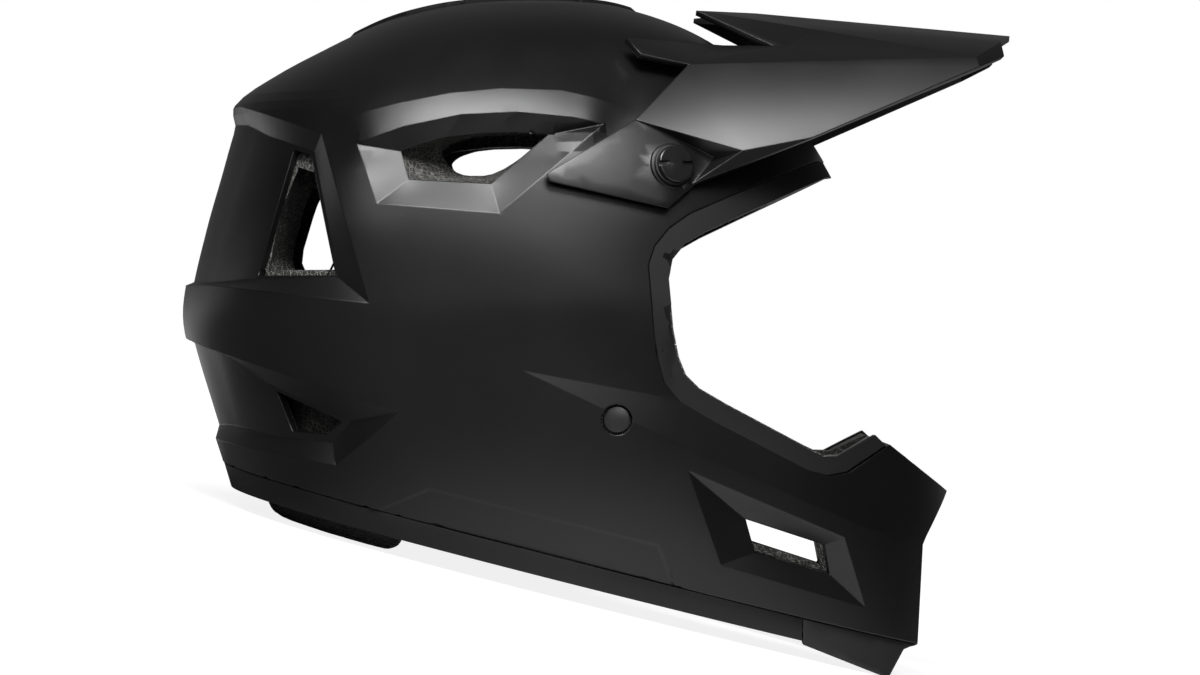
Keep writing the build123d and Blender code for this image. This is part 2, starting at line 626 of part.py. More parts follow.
with BuildPart() as chin_piece:
    add(whole_form)
    add(prism(side(CHIN_PIECE_SHARES)), mode=Mode.INTERSECT)
    add(slab(0, RIM_TOP - PARTING_GAP), mode=Mode.INTERSECT)
    add([behind_wall, inside_flange, ahead_of_chin(0)], mode=Mode.SUBTRACT)
chin_piece.part.label = "chin_piece"
export_step(chin_piece.part, "parts/chin_piece.step")

# Grille in the chin's front intake
grille_back = chin_front - GRILLE_SETBACK - GRILLE_THICKNESS
grille_width = 2 * (INTAKE_HALF_WIDTH - SEAT_GAP)
grille_height = intake_high - intake_low - 2 * SEAT_GAP
grille_middle = level_point(grille_back, (intake_low + intake_high) / 2)
slot_pitch = (grille_width - 2 * GRILLE_EDGE + GRILLE_BAR) / GRILLE_SLOTS
with BuildPart() as chin_grille:
    with BuildSketch(Plane(origin=grille_middle, x_dir=(0, 1, 0), z_dir=forward)):
        Rectangle(grille_width, grille_height)
        with GridLocations(slot_pitch, 0, GRILLE_SLOTS, 1):
            SlotOverall(grille_height - 2 * GRILLE_EDGE, slot_pitch - GRILLE_BAR, rotation=90, mode=Mode.SUBTRACT)
    extrude(amount=GRILLE_THICKNESS)
chin_grille.part.label = "chin_grille"
export_step(chin_grille.part, "parts/chin_grille.step")

# Neck roll, with a rounded lower edge that ends in a flat land on the floor
roll_space = helmet_form(NECK_ROLL_INSETS[0]) - helmet_form(NECK_ROLL_INSETS[1])
with BuildPart() as neck_roll:
    add(roll_space)
    add(slab(0, NECK_ROLL_TOP), mode=Mode.INTERSECT)
    add(strip(-OVERRUN, -SHELL_HEIGHT, roll_front - SEAT_GAP, SHELL_HEIGHT), mode=Mode.INTERSECT)
    fillet(faces().sort_by(Axis.Z)[0].edges(), radius=NECK_ROLL_ROUND)
neck_roll.part.label = "neck_roll"
export_step(neck_roll.part, "parts/neck_roll.step")

# Comfort pads on the crown, brow and nape
lining = helmet_form(FOAM_INSET + PAD_GAP) - helmet_form(FOAM_INSET + PAD_GAP + PAD_THICKNESS)
crown_foot = CROWN_PAD_SHARE * SHELL_HEIGHT
band_rear, band_front = (share * SHELL_LENGTH for share in CROWN_BAND_SHARES)
brow_low, brow_high = (share * SHELL_HEIGHT for share in BROW_PAD_SHARES)
nape_low, nape_high = (share * SHELL_HEIGHT for share in NAPE_PAD_SHARES)
crown_spaces = [
    strip(-OVERRUN, crown_foot, AHEAD_SHARE * SHELL_LENGTH, 2 * SHELL_HEIGHT, CROWN_PAD_HALF_WIDTH),
    strip(band_rear, CROWN_BAND_FOOT_SHARE * SHELL_HEIGHT, band_front, 2 * SHELL_HEIGHT),
]
brow_space = strip(BROW_PAD_REAR_SHARE * SHELL_LENGTH, brow_low, AHEAD_SHARE * SHELL_LENGTH, brow_high)
pads = {
    "crown_pad": crown_spaces[0] + crown_spaces[1],
    "brow_pad": brow_space - prism(grown(aperture, PAD_GAP)),
    "nape_pad": strip(-OVERRUN, nape_low, NAPE_PAD_FRONT_SHARE * SHELL_LENGTH, nape_high),
}
for name, space in pads.items():
    with BuildPart() as pad:
        add(lining)
        add(space, mode=Mode.INTERSECT)
    pad.part.label = name
    export_step(pad.part, f"parts/{name}.step")

# Cheek pads, each with a notch for the strap and a socket for each snap
pad_back = helmet_form(FOAM_INSET + PAD_GAP)
for name, hand in hands.items():
    with BuildPart() as cheek_pad:
        with BuildSketch(side_plane(hand * CHEEK_FACE)) as cheek_outline:
            with BuildLine():
                Polyline(*side(CHEEK_SHARES), close=True)
            make_face()
            fillet(cheek_outline.vertices(), radius=CHEEK_CORNER)
        extrude(amount=-hand * OVERRUN)
        face = cheek_pad.faces().sort_by(Axis.Y)[0 if hand > 0 else -1]
        fillet(face.edges(), radius=CHEEK_ROUND)
        add(pad_back, mode=Mode.INTERSECT)
        with BuildSketch(Plane.XZ):
            with Locations((rivet_point.X, 0)):
                Rectangle(CHEEK_SLOT_WIDTH, 2 * CHEEK_SLOT_TOP)
        extrude(amount=2 * HALF_WIDTH, both=True, mode=Mode.SUBTRACT)
        for share in SNAP_SHARES:
            reach = half_width_at(share, FOAM_INSET)
            with BuildSketch(outward(share_point(share), reach - SNAP_STUD - SNAP_CLEARANCE, hand)):
                Circle(SNAP_STUD_RADIUS + SNAP_CLEARANCE)
            extrude(amount=OVERRUN, mode=Mode.SUBTRACT)
    cheek_pad.part.label = f"cheek_pad_{name}"
    export_step(cheek_pad.part, f"parts/cheek_pad_{name}.step")

# Snaps between the cheek pads and the foam
for name, hand in hands.items():
    for number, share in enumerate(SNAP_SHARES, 1):
        reach = half_width_at(share, FOAM_INSET)
        with BuildPart() as snap:
            with BuildSketch(outward(share_point(share), reach + SNAP_SETBACK, hand)):
                Circle(SNAP_RADIUS)
            extrude(amount=SNAP_SEAT)
            with BuildSketch(outward(share_point(share), reach - SNAP_STUD, hand)):
                Circle(SNAP_STUD_RADIUS)
            extrude(amount=SNAP_STUD + SNAP_SETBACK)
        snap.part.label = f"cheek_snap_{name}_{number}"
        export_step(snap.part, f"parts/cheek_snap_{name}_{number}.step")

# Chin strap's rivets and anchor plates, one of each a side, on one axis
for name, hand in hands.items():
    with BuildPart() as rivet:
        with BuildSketch(outward(rivet_point, rivet_face - RIVET_CAP_HEIGHT, hand)):
            Circle(RIVET_CAP)
        extrude(amount=RIVET_CAP_HEIGHT)
        with BuildSketch(outward(rivet_point, anchor_face, hand)):
            Circle(RIVET_SHANK)
        extrude(amount=rivet_face - anchor_face - RIVET_CAP_HEIGHT)
    rivet.part.label = f"strap_rivet_{name}"
    export_step(rivet.part, f"parts/strap_rivet_{name}.step")

    with BuildPart() as anchor:
        with BuildSketch(outward(rivet_point, anchor_face, hand)):
            Circle(ANCHOR_RADIUS)
            Circle(RIVET_SHANK + RUNNING_GAP, mode=Mode.SUBTRACT)
        extrude(amount=ANCHOR_THICKNESS)
    anchor.part.label = f"strap_anchor_{name}"
    export_step(anchor.part, f"parts/strap_anchor_{name}.step")

    drop = [
        (hand * strap_line, rivet_point.Z + STRAP_TAIL),
        (hand * strap_line, STRAP_HINGE_HEIGHT),
        (hand * (STRAP_HINGE_PLACE + SEAT_GAP), STRAP_HINGE_HEIGHT),
    ]
    with BuildPart() as strap_upper:
        add(webbing(drop, STRAP_BEND))
        with BuildSketch(outward(rivet_point, anchor_face, hand)):
            Circle(RIVET_SHANK + RUNNING_GAP)
        extrude(amount=OVERRUN, mode=Mode.SUBTRACT)
    strap_upper.part.label = f"strap_upper_{name}"
    export_step(strap_upper.part, f"parts/strap_upper_{name}.step")

# Hanging loop of the strap: the left end carries two D-rings, and the right end runs through them and back
ring_level = STRAP_HINGE_HEIGHT - STRAP_SAG
ring_rise = D_RING_WIRE + D_RING_GAP / 2
eye_radius = D_RING_WIRE + SEAT_GAP
with BuildPart() as strap_ring_end:
    slope = [
        (STRAP_HINGE_PLACE - SEAT_GAP, STRAP_HINGE_HEIGHT),
        (STRAP_FOOT + eye_radius + STRAP_THICKNESS, ring_level),
        (D_RING_PLACE + eye_radius + STRAP_THICKNESS / 2, ring_level),
    ]
    add(webbing(slope, STRAP_BEND / 2))
    with BuildSketch(Plane(origin=(rivet_point.X, D_RING_PLACE, ring_level), x_dir=(0, 1, 0), z_dir=(1, 0, 0))):
        SlotCenterToCenter(2 * ring_rise, 2 * (eye_radius + STRAP_THICKNESS), rotation=90)
        SlotCenterToCenter(2 * ring_rise, 2 * eye_radius, rotation=90, mode=Mode.SUBTRACT)
    extrude(amount=STRAP_WIDTH / 2, both=True)
strap_ring_end.part.label = "strap_ring_end"
export_step(strap_ring_end.part, "parts/strap_ring_end.step")

for name, rise in (("upper", ring_rise), ("lower", -ring_rise)):
    ring_plane = Plane(origin=(rivet_point.X, 0, ring_level + rise))
    with BuildPart() as d_ring:
        with BuildLine(ring_plane) as hoop:
            FilletPolyline(
                (-D_RING_HALF_WIDTH, D_RING_PLACE),
                (-D_RING_HALF_WIDTH, D_RING_PLACE - D_RING_REACH),
                (D_RING_HALF_WIDTH, D_RING_PLACE - D_RING_REACH),
                (D_RING_HALF_WIDTH, D_RING_PLACE),
                radius=D_RING_CORNER,
            )
        with BuildSketch(Plane(origin=hoop.line @ 0, x_dir=(1, 0, 0), z_dir=hoop.line % 0)):
            Circle(D_RING_WIRE)
        sweep(path=hoop.line)
        bar_end = (rivet_point.X - D_RING_HALF_WIDTH - D_RING_WIRE, D_RING_PLACE, ring_level + rise)
        with BuildSketch(Plane(origin=bar_end, x_dir=(0, 1, 0), z_dir=(1, 0, 0))):
            Circle(D_RING_WIRE)
        extrude(amount=2 * (D_RING_HALF_WIDTH + D_RING_WIRE))
    d_ring.part.label = f"d_ring_{name}"
    export_step(d_ring.part, f"parts/d_ring_{name}.step")

turn_radius = ring_rise + D_RING_WIRE + D_RING_GAP + STRAP_THICKNESS / 2
turn_place = D_RING_PLACE - D_RING_REACH + turn_radius
loose_run = [
    (-STRAP_HINGE_PLACE + SEAT_GAP, STRAP_HINGE_HEIGHT),
    (-STRAP_FOOT + STRAP_THICKNESS, ring_level - turn_radius),
    (turn_place, ring_level - turn_radius),
    (turn_place, ring_level + turn_radius),
    (-STRAP_END, ring_level + turn_radius),
]
with BuildPart() as strap_loose_end:
    add(webbing(loose_run, [STRAP_BEND, turn_radius - RUNNING_GAP, turn_radius - RUNNING_GAP]))
strap_loose_end.part.label = "strap_loose_end"
export_step(strap_loose_end.part, "parts/strap_loose_end.step")

snap_top = ring_level + turn_radius + STRAP_THICKNESS / 2
snap_place = (rivet_point.X, STRAP_SNAP_SETBACK - STRAP_END, snap_top)
with BuildPart() as strap_snap:
    with BuildSketch(Plane(origin=snap_place)):
        Circle(STRAP_SNAP_RADIUS)
    extrude(amount=STRAP_SNAP_HEIGHT)
    fillet(strap_snap.faces().sort_by(Axis.Z)[-1].edges(), radius=STRAP_SNAP_HEIGHT / 2)
strap_snap.part.label = "strap_snap"
export_step(strap_snap.part, "parts/strap_snap.step")

# Visor: two arms that follow the shell, and a folded skin between them
arm_band = helmet_form(-VISOR_GAP - VISOR_WALL) - helmet_form(-VISOR_GAP)
visor_pieces = []
for hand in (-1, 1):
    corners = {name: share_point(share, hand * place) for name, (share, place) in VISOR_CORNERS.items()}
    panels = VISOR_PANELS if hand < 0 else [panel[::-1] for panel in VISOR_PANELS]
    visor_pieces.append(folded_sheet(corners, panels, VISOR_WALL))
    visor_pieces.append(disc(screw_plane(hand, BOSS_SINK), BOSS_RADIUS, BOSS_SINK + BOSS_RISE))
with BuildPart() as visor:
    add(arm_band)
    add(prism(side(ARM_SHARES)), mode=Mode.INTERSECT)
    add(visor_pieces)
    for hand in (-1, 1):
        with BuildSketch(screw_plane(hand, OVERRUN / 2)):
            Circle(SCREW_SHAFT + SCREW_HOLE_GAP)
        extrude(amount=OVERRUN, mode=Mode.SUBTRACT)
visor.part.label = "visor"
export_step(visor.part, "parts/visor.step")

# Visor screws with their washers, and the inserts that they turn in
washer_level = BOSS_RISE + WASHER_FLOAT
head_level = washer_level + WASHER_THICKNESS
for name, hand in hands.items():
    with BuildPart() as visor_screw:
        with BuildSketch(screw_plane(hand, -head_level)):
            Circle(SCREW_HEAD)
        extrude(amount=SCREW_HEAD_HEIGHT)
        rim = visor_screw.edges().filter_by(GeomType.CIRCLE).sort_by(Axis.Y)[-1 if hand > 0 else 0]
        fillet(rim, radius=SCREW_HEAD_ROUND)
        with BuildSketch(screw_plane(hand, -head_level - SCREW_HEAD_HEIGHT + SCREW_SLOT_DEPTH)):
            Rectangle(2 * SCREW_HEAD, SCREW_SLOT_WIDTH)
            Circle(SCREW_HUB, mode=Mode.SUBTRACT)
        extrude(amount=OVERRUN, mode=Mode.SUBTRACT)
        with BuildSketch(screw_plane(hand, SCREW_END)):
            Circle(SCREW_SHAFT)
        extrude(amount=SCREW_END + head_level)
    visor_screw.part.label = f"visor_screw_{name}"
    export_step(visor_screw.part, f"parts/visor_screw_{name}.step")

    with BuildPart() as visor_washer:
        with BuildSketch(screw_plane(hand, -washer_level)):
            Circle(WASHER_RADIUS)
            Circle(SCREW_SHAFT + RUNNING_GAP, mode=Mode.SUBTRACT)
        extrude(amount=WASHER_THICKNESS)
    visor_washer.part.label = f"visor_washer_{name}"
    export_step(visor_washer.part, f"parts/visor_washer_{name}.step")

    with BuildPart() as visor_insert:
        with BuildSketch(screw_plane(hand, insert_end)):
            Circle(INSERT_RADIUS)
            Circle(SCREW_SHAFT + RUNNING_GAP, mode=Mode.SUBTRACT)
        extrude(amount=INSERT_LENGTH)
    visor_insert.part.label = f"visor_insert_{name}"
    export_step(visor_insert.part, f"parts/visor_insert_{name}.step")

pivot = share_point(PIVOT_SHARE)
print(f"visor pivot at x {pivot.X:.2f}, z {pivot.Z:.2f}")
for name, hand in hands.items():
    head = screw_plane(hand)
    print(f"screw {name} at {head.origin}, facing {head.z_dir}")
print(f"strap at x {rivet_point.X:.2f}, hinge height {STRAP_HINGE_HEIGHT}, rivet height {rivet_point.Z:.2f}")
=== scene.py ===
import math

import bmesh
import bpy
from bpy.props import FloatProperty, FloatVectorProperty, PointerProperty
from mathutils import Matrix, Vector


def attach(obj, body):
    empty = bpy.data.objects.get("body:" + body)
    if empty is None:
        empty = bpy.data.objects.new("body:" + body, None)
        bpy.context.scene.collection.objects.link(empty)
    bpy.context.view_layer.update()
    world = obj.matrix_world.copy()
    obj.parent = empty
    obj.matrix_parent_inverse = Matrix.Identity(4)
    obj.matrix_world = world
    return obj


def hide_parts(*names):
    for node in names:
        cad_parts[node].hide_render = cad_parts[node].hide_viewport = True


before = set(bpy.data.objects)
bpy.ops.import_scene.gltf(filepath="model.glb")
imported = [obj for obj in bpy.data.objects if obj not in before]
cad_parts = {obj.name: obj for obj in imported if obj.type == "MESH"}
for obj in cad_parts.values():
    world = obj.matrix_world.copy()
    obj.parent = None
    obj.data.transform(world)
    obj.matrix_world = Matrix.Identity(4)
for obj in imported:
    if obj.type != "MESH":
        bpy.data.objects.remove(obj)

bl_info = {
    "name": "Downhill Helmet",
    "version": (1, 0, 0),
    "blender": (4, 5, 0),
    "location": "View3D > Sidebar > Helmet",
    "description": "Builds the looks of a full-face downhill helmet round its packed frame",
    "category": "Object",
}

# The helmet's own level leans nose-down from the standing frame. Shares are of its length and height there.
LEAN = math.radians(14.6)
LENGTH, HEIGHT, HALF_WIDTH = 0.342, 0.303, 0.118
BELT_SHARE, CHIN_SHARE, TIP_SHARE = (0.0, 0.578), (0.958, 0.051), (0.918, 0.004)
RIM_TOP = 0.0176

# Plan of the shell at each level: height, rear end, widest place, front end and half width
FORM_SHARES = [
    (-0.150, 0.172, 0.340, 0.965, 0.745),
    (0.000, 0.134, 0.340, 0.985, 0.815),
    (0.140, 0.098, 0.340, 0.998, 0.880),
    (0.274, 0.064, 0.340, 1.003, 0.940),
    (0.380, 0.034, 0.340, 0.985, 0.975),
    (0.504, 0.002, 0.340, 0.948, 0.997),
    (0.556, 0.000, 0.340, 0.928, 1.000),
    (0.660, 0.020, 0.340, 0.884, 0.987),
    (0.740, 0.040, 0.342, 0.850, 0.948),
    (0.800, 0.055, 0.350, 0.818, 0.893),
    (0.846, 0.069, 0.368, 0.783, 0.830),
    (0.890, 0.125, 0.400, 0.742, 0.742),
    (0.925, 0.183, 0.430, 0.708, 0.652),
    (0.954, 0.235, 0.450, 0.664, 0.543),
    (0.981, 0.300, 0.460, 0.600, 0.380),
    (0.996, 0.385, 0.465, 0.530, 0.202),
    (0.9975, 0.462, 0.462, 0.462, 0.000),
]
FORM_TOP = FORM_SHARES[-1][0]
REAR_POWER, FRONT_POWER = 2.2, 2.15

# Outlines in side view
CHIN_SHARES = [(0.919, 0.345), (1.000, 0.274), (0.964, 0.200), (0.958, 0.051), (0.936, 0.020)]
RECESS_OUTER = [
    (-0.100, 0.838), (0.080, 0.838), (0.194, 0.792), (0.257, 0.549), (0.042, 0.577), (-0.100, 0.579),
]
RECESS_INNER = [
    (-0.100, 0.816), (0.072, 0.816), (0.184, 0.766), (0.218, 0.585), (0.041, 0.584), (-0.100, 0.586),
]
REAR_VENT = [(0.156, 0.771), (0.180, 0.762), (0.214, 0.589), (0.111, 0.589)]
LOW_OUTER = [(-0.100, 0.539), (0.038, 0.487), (0.297, 0.395), (0.213, 0.319), (0.064, 0.348), (-0.100, 0.380)]
LOW_INNER = [(-0.100, 0.535), (0.042, 0.474), (0.233, 0.382), (0.209, 0.350), (0.069, 0.364), (-0.100, 0.387)]
LOW_VENT = [(0.135, 0.424), (0.156, 0.366), (0.200, 0.362), (0.221, 0.381)]
SIDE_MOUTH = [
    (0.242, 0.773), (0.300, 0.796), (0.371, 0.813), (0.441, 0.817), (0.512, 0.810),
    (0.549, 0.802), (0.420, 0.676), (0.266, 0.690),
]
SIDE_THROAT = [
    (0.296, 0.765), (0.324, 0.776), (0.352, 0.785), (0.400, 0.791), (0.440, 0.792),
    (0.480, 0.789), (0.409, 0.719), (0.306, 0.725),
]
CHIN_MOUTH = [(0.657, 0.311), (0.858, 0.212), (0.886, 0.110), (0.699, 0.176)]
CHIN_THROAT = [(0.731, 0.240), (0.833, 0.201), (0.840, 0.158), (0.743, 0.192)]
EYEPORT = [
    (0.829, 0.760), (0.719, 0.707), (0.659, 0.677), (0.633, 0.656), (0.615, 0.631), (0.607, 0.604),
    (0.614, 0.511), (0.619, 0.471), (0.628, 0.435), (0.648, 0.408), (0.694, 0.378),
    (0.812, 0.309), (0.838, 0.301), (0.865, 0.306), (0.919, 0.345), (1.250, 0.345), (1.250, 0.760),
]
BROW_CREASE = [
    (0.194, 0.792), (0.232, 0.811), (0.294, 0.829), (0.357, 0.843), (0.420, 0.850),
    (0.496, 0.848), (0.559, 0.833), (0.600, 0.813), (0.640, 0.790),
]
CHEEK_CREASE = [
    (0.448, 0.454), (0.551, 0.399), (0.596, 0.376), (0.676, 0.330),
    (0.752, 0.294), (0.883, 0.227), (0.955, 0.203),
]
CHEEK_VALLEY = [(0.448, 0.454), (0.636, 0.414)]
SIDE_PANEL = [(0.252, 0.250), (0.332, 0.288), (0.621, 0.206), (0.640, 0.150), (0.640, 0.040), (0.252, 0.040)]
SIDE_HOLE = [
    (0.342, 0.764), (0.354, 0.777), (0.378, 0.786), (0.405, 0.790), (0.440, 0.791),
    (0.484, 0.790), (0.414, 0.732), (0.366, 0.732),
]
REAR_HOLE = [(0.172, 0.720), (0.188, 0.712), (0.216, 0.588), (0.140, 0.592)]
RIVET_SHARE = (0.567, 0.384)
INTAKE = [(0.90, 0.105), (1.1, 0.105), (1.1, 0.190), (0.90, 0.190)]
SPINE_PLAN = [(0.215, 0.0), (0.292, 0.020), (0.526, 0.020), (0.595, 0.0)]

# Skin of the shell: cells round and up one half, and where the crown's dome takes over from the wall
SKIN_AROUND, SKIN_UP = 150, 96
SKIN_BOTTOM, DOME_LEVEL, DOME_START = -0.06, 0.93, 0.80
WELD_REACH, HOLE_SIDES, SKIN_SHARP = 0.0008, 12, math.radians(6.0)

# Steps for slopes, facets and cuts, the level up to which the skin follows the form's own slope, and the lean
# past which it is sunk sideways
NUDGE, EDGE_REACH, CUT_REACH, RING_REACH = 0.0001, 0.00012, 0.0005, 0.0001
FACET_TRIES, FACET_SLACK = ((0, 0), (1, 0.3), (-1, -0.3), (0.3, -1), (-0.3, 1)), 0.1
SMOOTH_LEVEL, SIDEWAYS = 0.955, 0.4

# Relief of the skin, in metres
RECESS_DEPTH, RECESS_REAR, RECESS_TURN = 0.007, 0.0030, 0.050
SIDE_DEPTH, CHIN_DEPTH = 0.005, 0.0065
CHEEK_SLOPE, CHEEK_DEPTH, CHEEK_FADE, CHEEK_TOP = 0.14, 0.0027, 0.045, 0.62
CHEEK_END_SHARES = (0.88, 0.99)
BROW_RISE, BROW_ABOVE, BROW_BELOW, BROW_FADE, BROW_END = 0.003, 0.026, 0.012, 0.15, 0.88
SPINE_RISE, SPINE_BEVEL, SPINE_LEVEL = 0.0016, 0.0017, 0.90
PANEL_DEPTH, PANEL_BEVEL = 0.0009, 0.0014
RIVET_HOLE, RIVET_INSIDE, RING_SIDES = 0.0067, 0.98, 24
INTAKE_HALF_WIDTH, CHIN_CUT = 0.022, 0.04
FUNNELS = ((SIDE_MOUTH, SIDE_THROAT, SIDE_DEPTH), (CHIN_MOUTH, CHIN_THROAT, CHIN_DEPTH))
RECESSES = ((RECESS_OUTER, RECESS_INNER), (LOW_OUTER, LOW_INNER))
SKIN_HOLES = (EYEPORT, REAR_VENT, SIDE_THROAT, CHIN_THROAT, LOW_VENT)

# Trim on the skin, foam collars with their reach inwards at the rear and the front, and the crown's foam
TRIM_SETBACK, TRIM_REACH = 0.0004, 0.0016
COLLAR_LAP, COLLAR_WALL, SIDE_COLLAR, REAR_COLLAR = 0.0022, 0.0024, (0.024, 0.020), (0.044, 0.021)
FOAM_GAP, FOAM_CELL, FOAM_LEVEL = 0.0035, 0.006, 0.30

CLOTH_PRESSURE, CLOTH_QUALITY, CLOTH_FRAMES = 4.0, 4, 14
BEAD_SCALE, BEVEL_SAMPLES = 480.0, 6
HANDS = ("left", "right")

# Camera: looks along +Y from in front of this place of the side view
CAMERA_SHARE, CAMERA_DISTANCE, CAMERA_LENS = (0.54605, 0.50045), 2.4, 160.0

# Stage: floor as the camera sees it and as it lights the object, world on the near and the far side, and
# lamps (name, azimuth, elevation, distance, width, height, power)
FLOOR_REACH, FLOOR_NEAR, FLOOR_FAR = 6.0, 0.25, 0.9
FLOOR_SEEN, FLOOR_GLOW = 0.3, 0.86
WORLD_NEAR, WORLD_FAR = 0.01, 0.14
# Painted light and shade on the floor as the object sees it: pale in a pool round FLOOR_SPOT, out over the
# FLOOR_LIT distances, and on the far side past FLOOR_TURN, and painted shade, FLOOR_SHADE of the pale colour,
# elsewhere on the near side
FLOOR_SPOT, FLOOR_LIT, FLOOR_SHADE, FLOOR_TURN = (0.13, -0.12, 0.0), (0.10, 0.26), 0.15, (0.05, 0.25)
LAMPS = [
    ("key", 4.0, 46.0, 2.2, 1.1, 0.75, 30.0),
    ("key_rear", -24.0, 48.0, 2.2, 0.9, 0.75, 38.0),
    ("fill_rear", -28.0, 20.0, 2.2, 0.9, 0.75, 6.0),
    ("fill", 6.0, 20.0, 2.2, 0.9, 0.6, 5.0),
]


def lean_place(u, v):
    """Standing-frame x and height of a level-frame place, before the origin is moved."""
    return u * math.cos(LEAN) - v * math.sin(LEAN), u * math.sin(LEAN) + v * math.cos(LEAN)


def side(share):
    """A side-view share as a place in the level frame, in metres."""
    return share[0] * LENGTH, share[1] * HEIGHT


ORIGIN_X = (lean_place(*side(BELT_SHARE))[0] + lean_place(*side(CHIN_SHARE))[0]) / 2
ORIGIN_Z = lean_place(*side(TIP_SHARE))[1]
STANDING = Matrix.Translation((-ORIGIN_X, 0, -ORIGIN_Z)) @ Matrix.Rotation(-LEAN, 4, "Y")


def stand(share):
    """A side-view share on the middle plane, in the standing frame."""
    u, v = side(share)
    return STANDING @ Vector((u, 0, v))


def table_value(keys, values, key):
    """A value at key, on a smooth curve through the table's values."""
    i = 0
    while i < len(keys) - 2 and key > keys[i + 1]:
        i += 1
    span = keys[i + 1] - keys[i]
    t = (key - keys[i]) / span

    def slope(j):
        a, b = max(0, j - 1), min(len(keys) - 1, j + 1)
        return (values[b] - values[a]) / (keys[b] - keys[a]) * span

    rise = values[i + 1] - values[i]
    start, end = slope(i), slope(i + 1)
    return values[i] + t * (start + t * (3 * rise - 2 * start - end + t * (start + end - 2 * rise)))


FORM_KEYS = [-math.sqrt(FORM_TOP - row[0]) for row in FORM_SHARES]
FORM_COLUMNS = [[row[i] for row in FORM_SHARES] for i in range(1, 5)]


def form_at(level):
    """Rear end, widest place, front end and half width of the shell at a level share, in metres."""
    key = -math.sqrt(max(0.0, FORM_TOP - level))
    rear, widest, front, width = (table_value(FORM_KEYS, column, key) for column in FORM_COLUMNS)
    return rear * LENGTH, widest * LENGTH, front * LENGTH, max(0.0, width) * HALF_WIDTH


def form_share(u, v):
    """Share of the way from the widest place to the shell's end, with the half width and the power there."""
    rear, widest, front, width = form_at(v / HEIGHT)
    reach, power = (front - widest, FRONT_POWER) if u > widest else (widest - rear, REAR_POWER)
    return abs(u - widest) / max(reach, 1e-6), width, power


def half_width_at(u, v):
    """Distance from the middle to the plain shell at a level-frame place."""
    share, width, power = form_share(u, v)
    return width * (1 - min(1.0, share) ** power) ** (1 / power)


def form_field(u, y, v):
    """One on the plain shell, less inside it and more outside."""
    share, width, power = form_share(u, v)
    return (share ** power + (abs(y) / max(width, 1e-6)) ** power) ** (1 / power)


def form_slope(place):
    """Direction and rate in which the form's field grows at a place of the level frame."""
    u, y, v = place
    grow = Vector((
        form_field(u + NUDGE, y, v) - form_field(u - NUDGE, y, v),
        form_field(u, y + NUDGE, v) - form_field(u, y - NUDGE, v),
        form_field(u, y, v + NUDGE) - form_field(u, y, v - NUDGE),
    ))
    return grow.normalized(), grow.length / (2 * NUDGE)


def on_form(place, inset=0.0, steps=3):
    """The place of the plain shell next to this one, set in by inset."""
    place = Vector(place)
    for _ in range(steps):
        normal, rate = form_slope(place)
        if rate < 1e-3:
            break
        place = place - normal * (form_field(*place) - 1) / rate
    return place - form_slope(place)[0] * inset


def inside(outline, u, v):
    """True if a side-view place lies in an outline of shares."""
    hit = False
    for a, b in zip(outline, outline[1:] + outline[:1]):
        (au, av), (bu, bv) = side(a), side(b)
        if (av > v) != (bv > v) and u < au + (v - av) * (bu - au) / (bv - av):
            hit = not hit
    return hit


def between(outer, inner, u, v):
    """Where a place lies between two outlines of equally many corners: (edge, along, across), or None."""
    count = len(outer)
    for i in range(count):
        quad = [outer[i], outer[(i + 1) % count], inner[(i + 1) % count], inner[i]]
        if not inside(quad, u, v):
            continue
        (au, av), (bu, bv), (cu, cv), (du, dv) = (side(share) for share in quad)
        along = across = 0.5
        for _ in range(8):
            pu = (1 - across) * ((1 - along) * au + along * bu) + across * ((1 - along) * du + along * cu)
            pv = (1 - across) * ((1 - along) * av + along * bv) + across * ((1 - along) * dv + along * cv)
            su = (1 - across) * (bu - au) + across * (cu - du)
            sv = (1 - across) * (bv - av) + across * (cv - dv)
            tu = (1 - along) * (du - au) + along * (cu - bu)
            tv = (1 - along) * (dv - av) + along * (cv - bv)
            cross = su * tv - sv * tu
            if abs(cross) < 1e-14:
                break
            along += ((u - pu) * tv - (v - pv) * tu) / cross
            across += (su * (v - pv) - sv * (u - pu)) / cross
        if all(-FACET_SLACK < share < 1 + FACET_SLACK for share in (along, across)):
            return i, min(1.0, max(0.0, along)), min(1.0, max(0.0, across))
    return None


def facet_at(outer, inner, u, v):
    """Where a place lies between two outlines, also right on their lines."""
    for at, spread in zip((u, v), zip(*(side(share) for share in outer))):
        if not min(spread) - EDGE_REACH < at < max(spread) + EDGE_REACH:
            return None
    tries = (between(outer, inner, u + du * EDGE_REACH, v + dv * EDGE_REACH) for du, dv in FACET_TRIES)
    return next((hit for hit in tries if hit), None)


def polyline_gap(points, u, v):
    """Distance from a place to a line of shares, signed above or below it, and how far along it is."""
    best, total = None, 0.0
    for a, b in zip(points, points[1:]):
        (au, av), (bu, bv) = side(a), side(b)
        du, dv = bu - au, bv - av
        length = math.hypot(du, dv)
        t = min(1.0, max(0.0, ((u - au) * du + (v - av) * dv) / length ** 2))
        gap = math.hypot(u - au - t * du, v - av - t * dv)
        if best is None or gap < best[0]:
            sign = 1 if du * (v - av) - dv * (u - au) > 0 else -1
            best = (gap, sign, total + t * length)
        total += length
    return best[0] * best[1], best[2] / total


def ease(t):
    """Smooth step from 0 to 1."""
    t = min(1.0, max(0.0, t))
    return t * t * (3 - 2 * t)


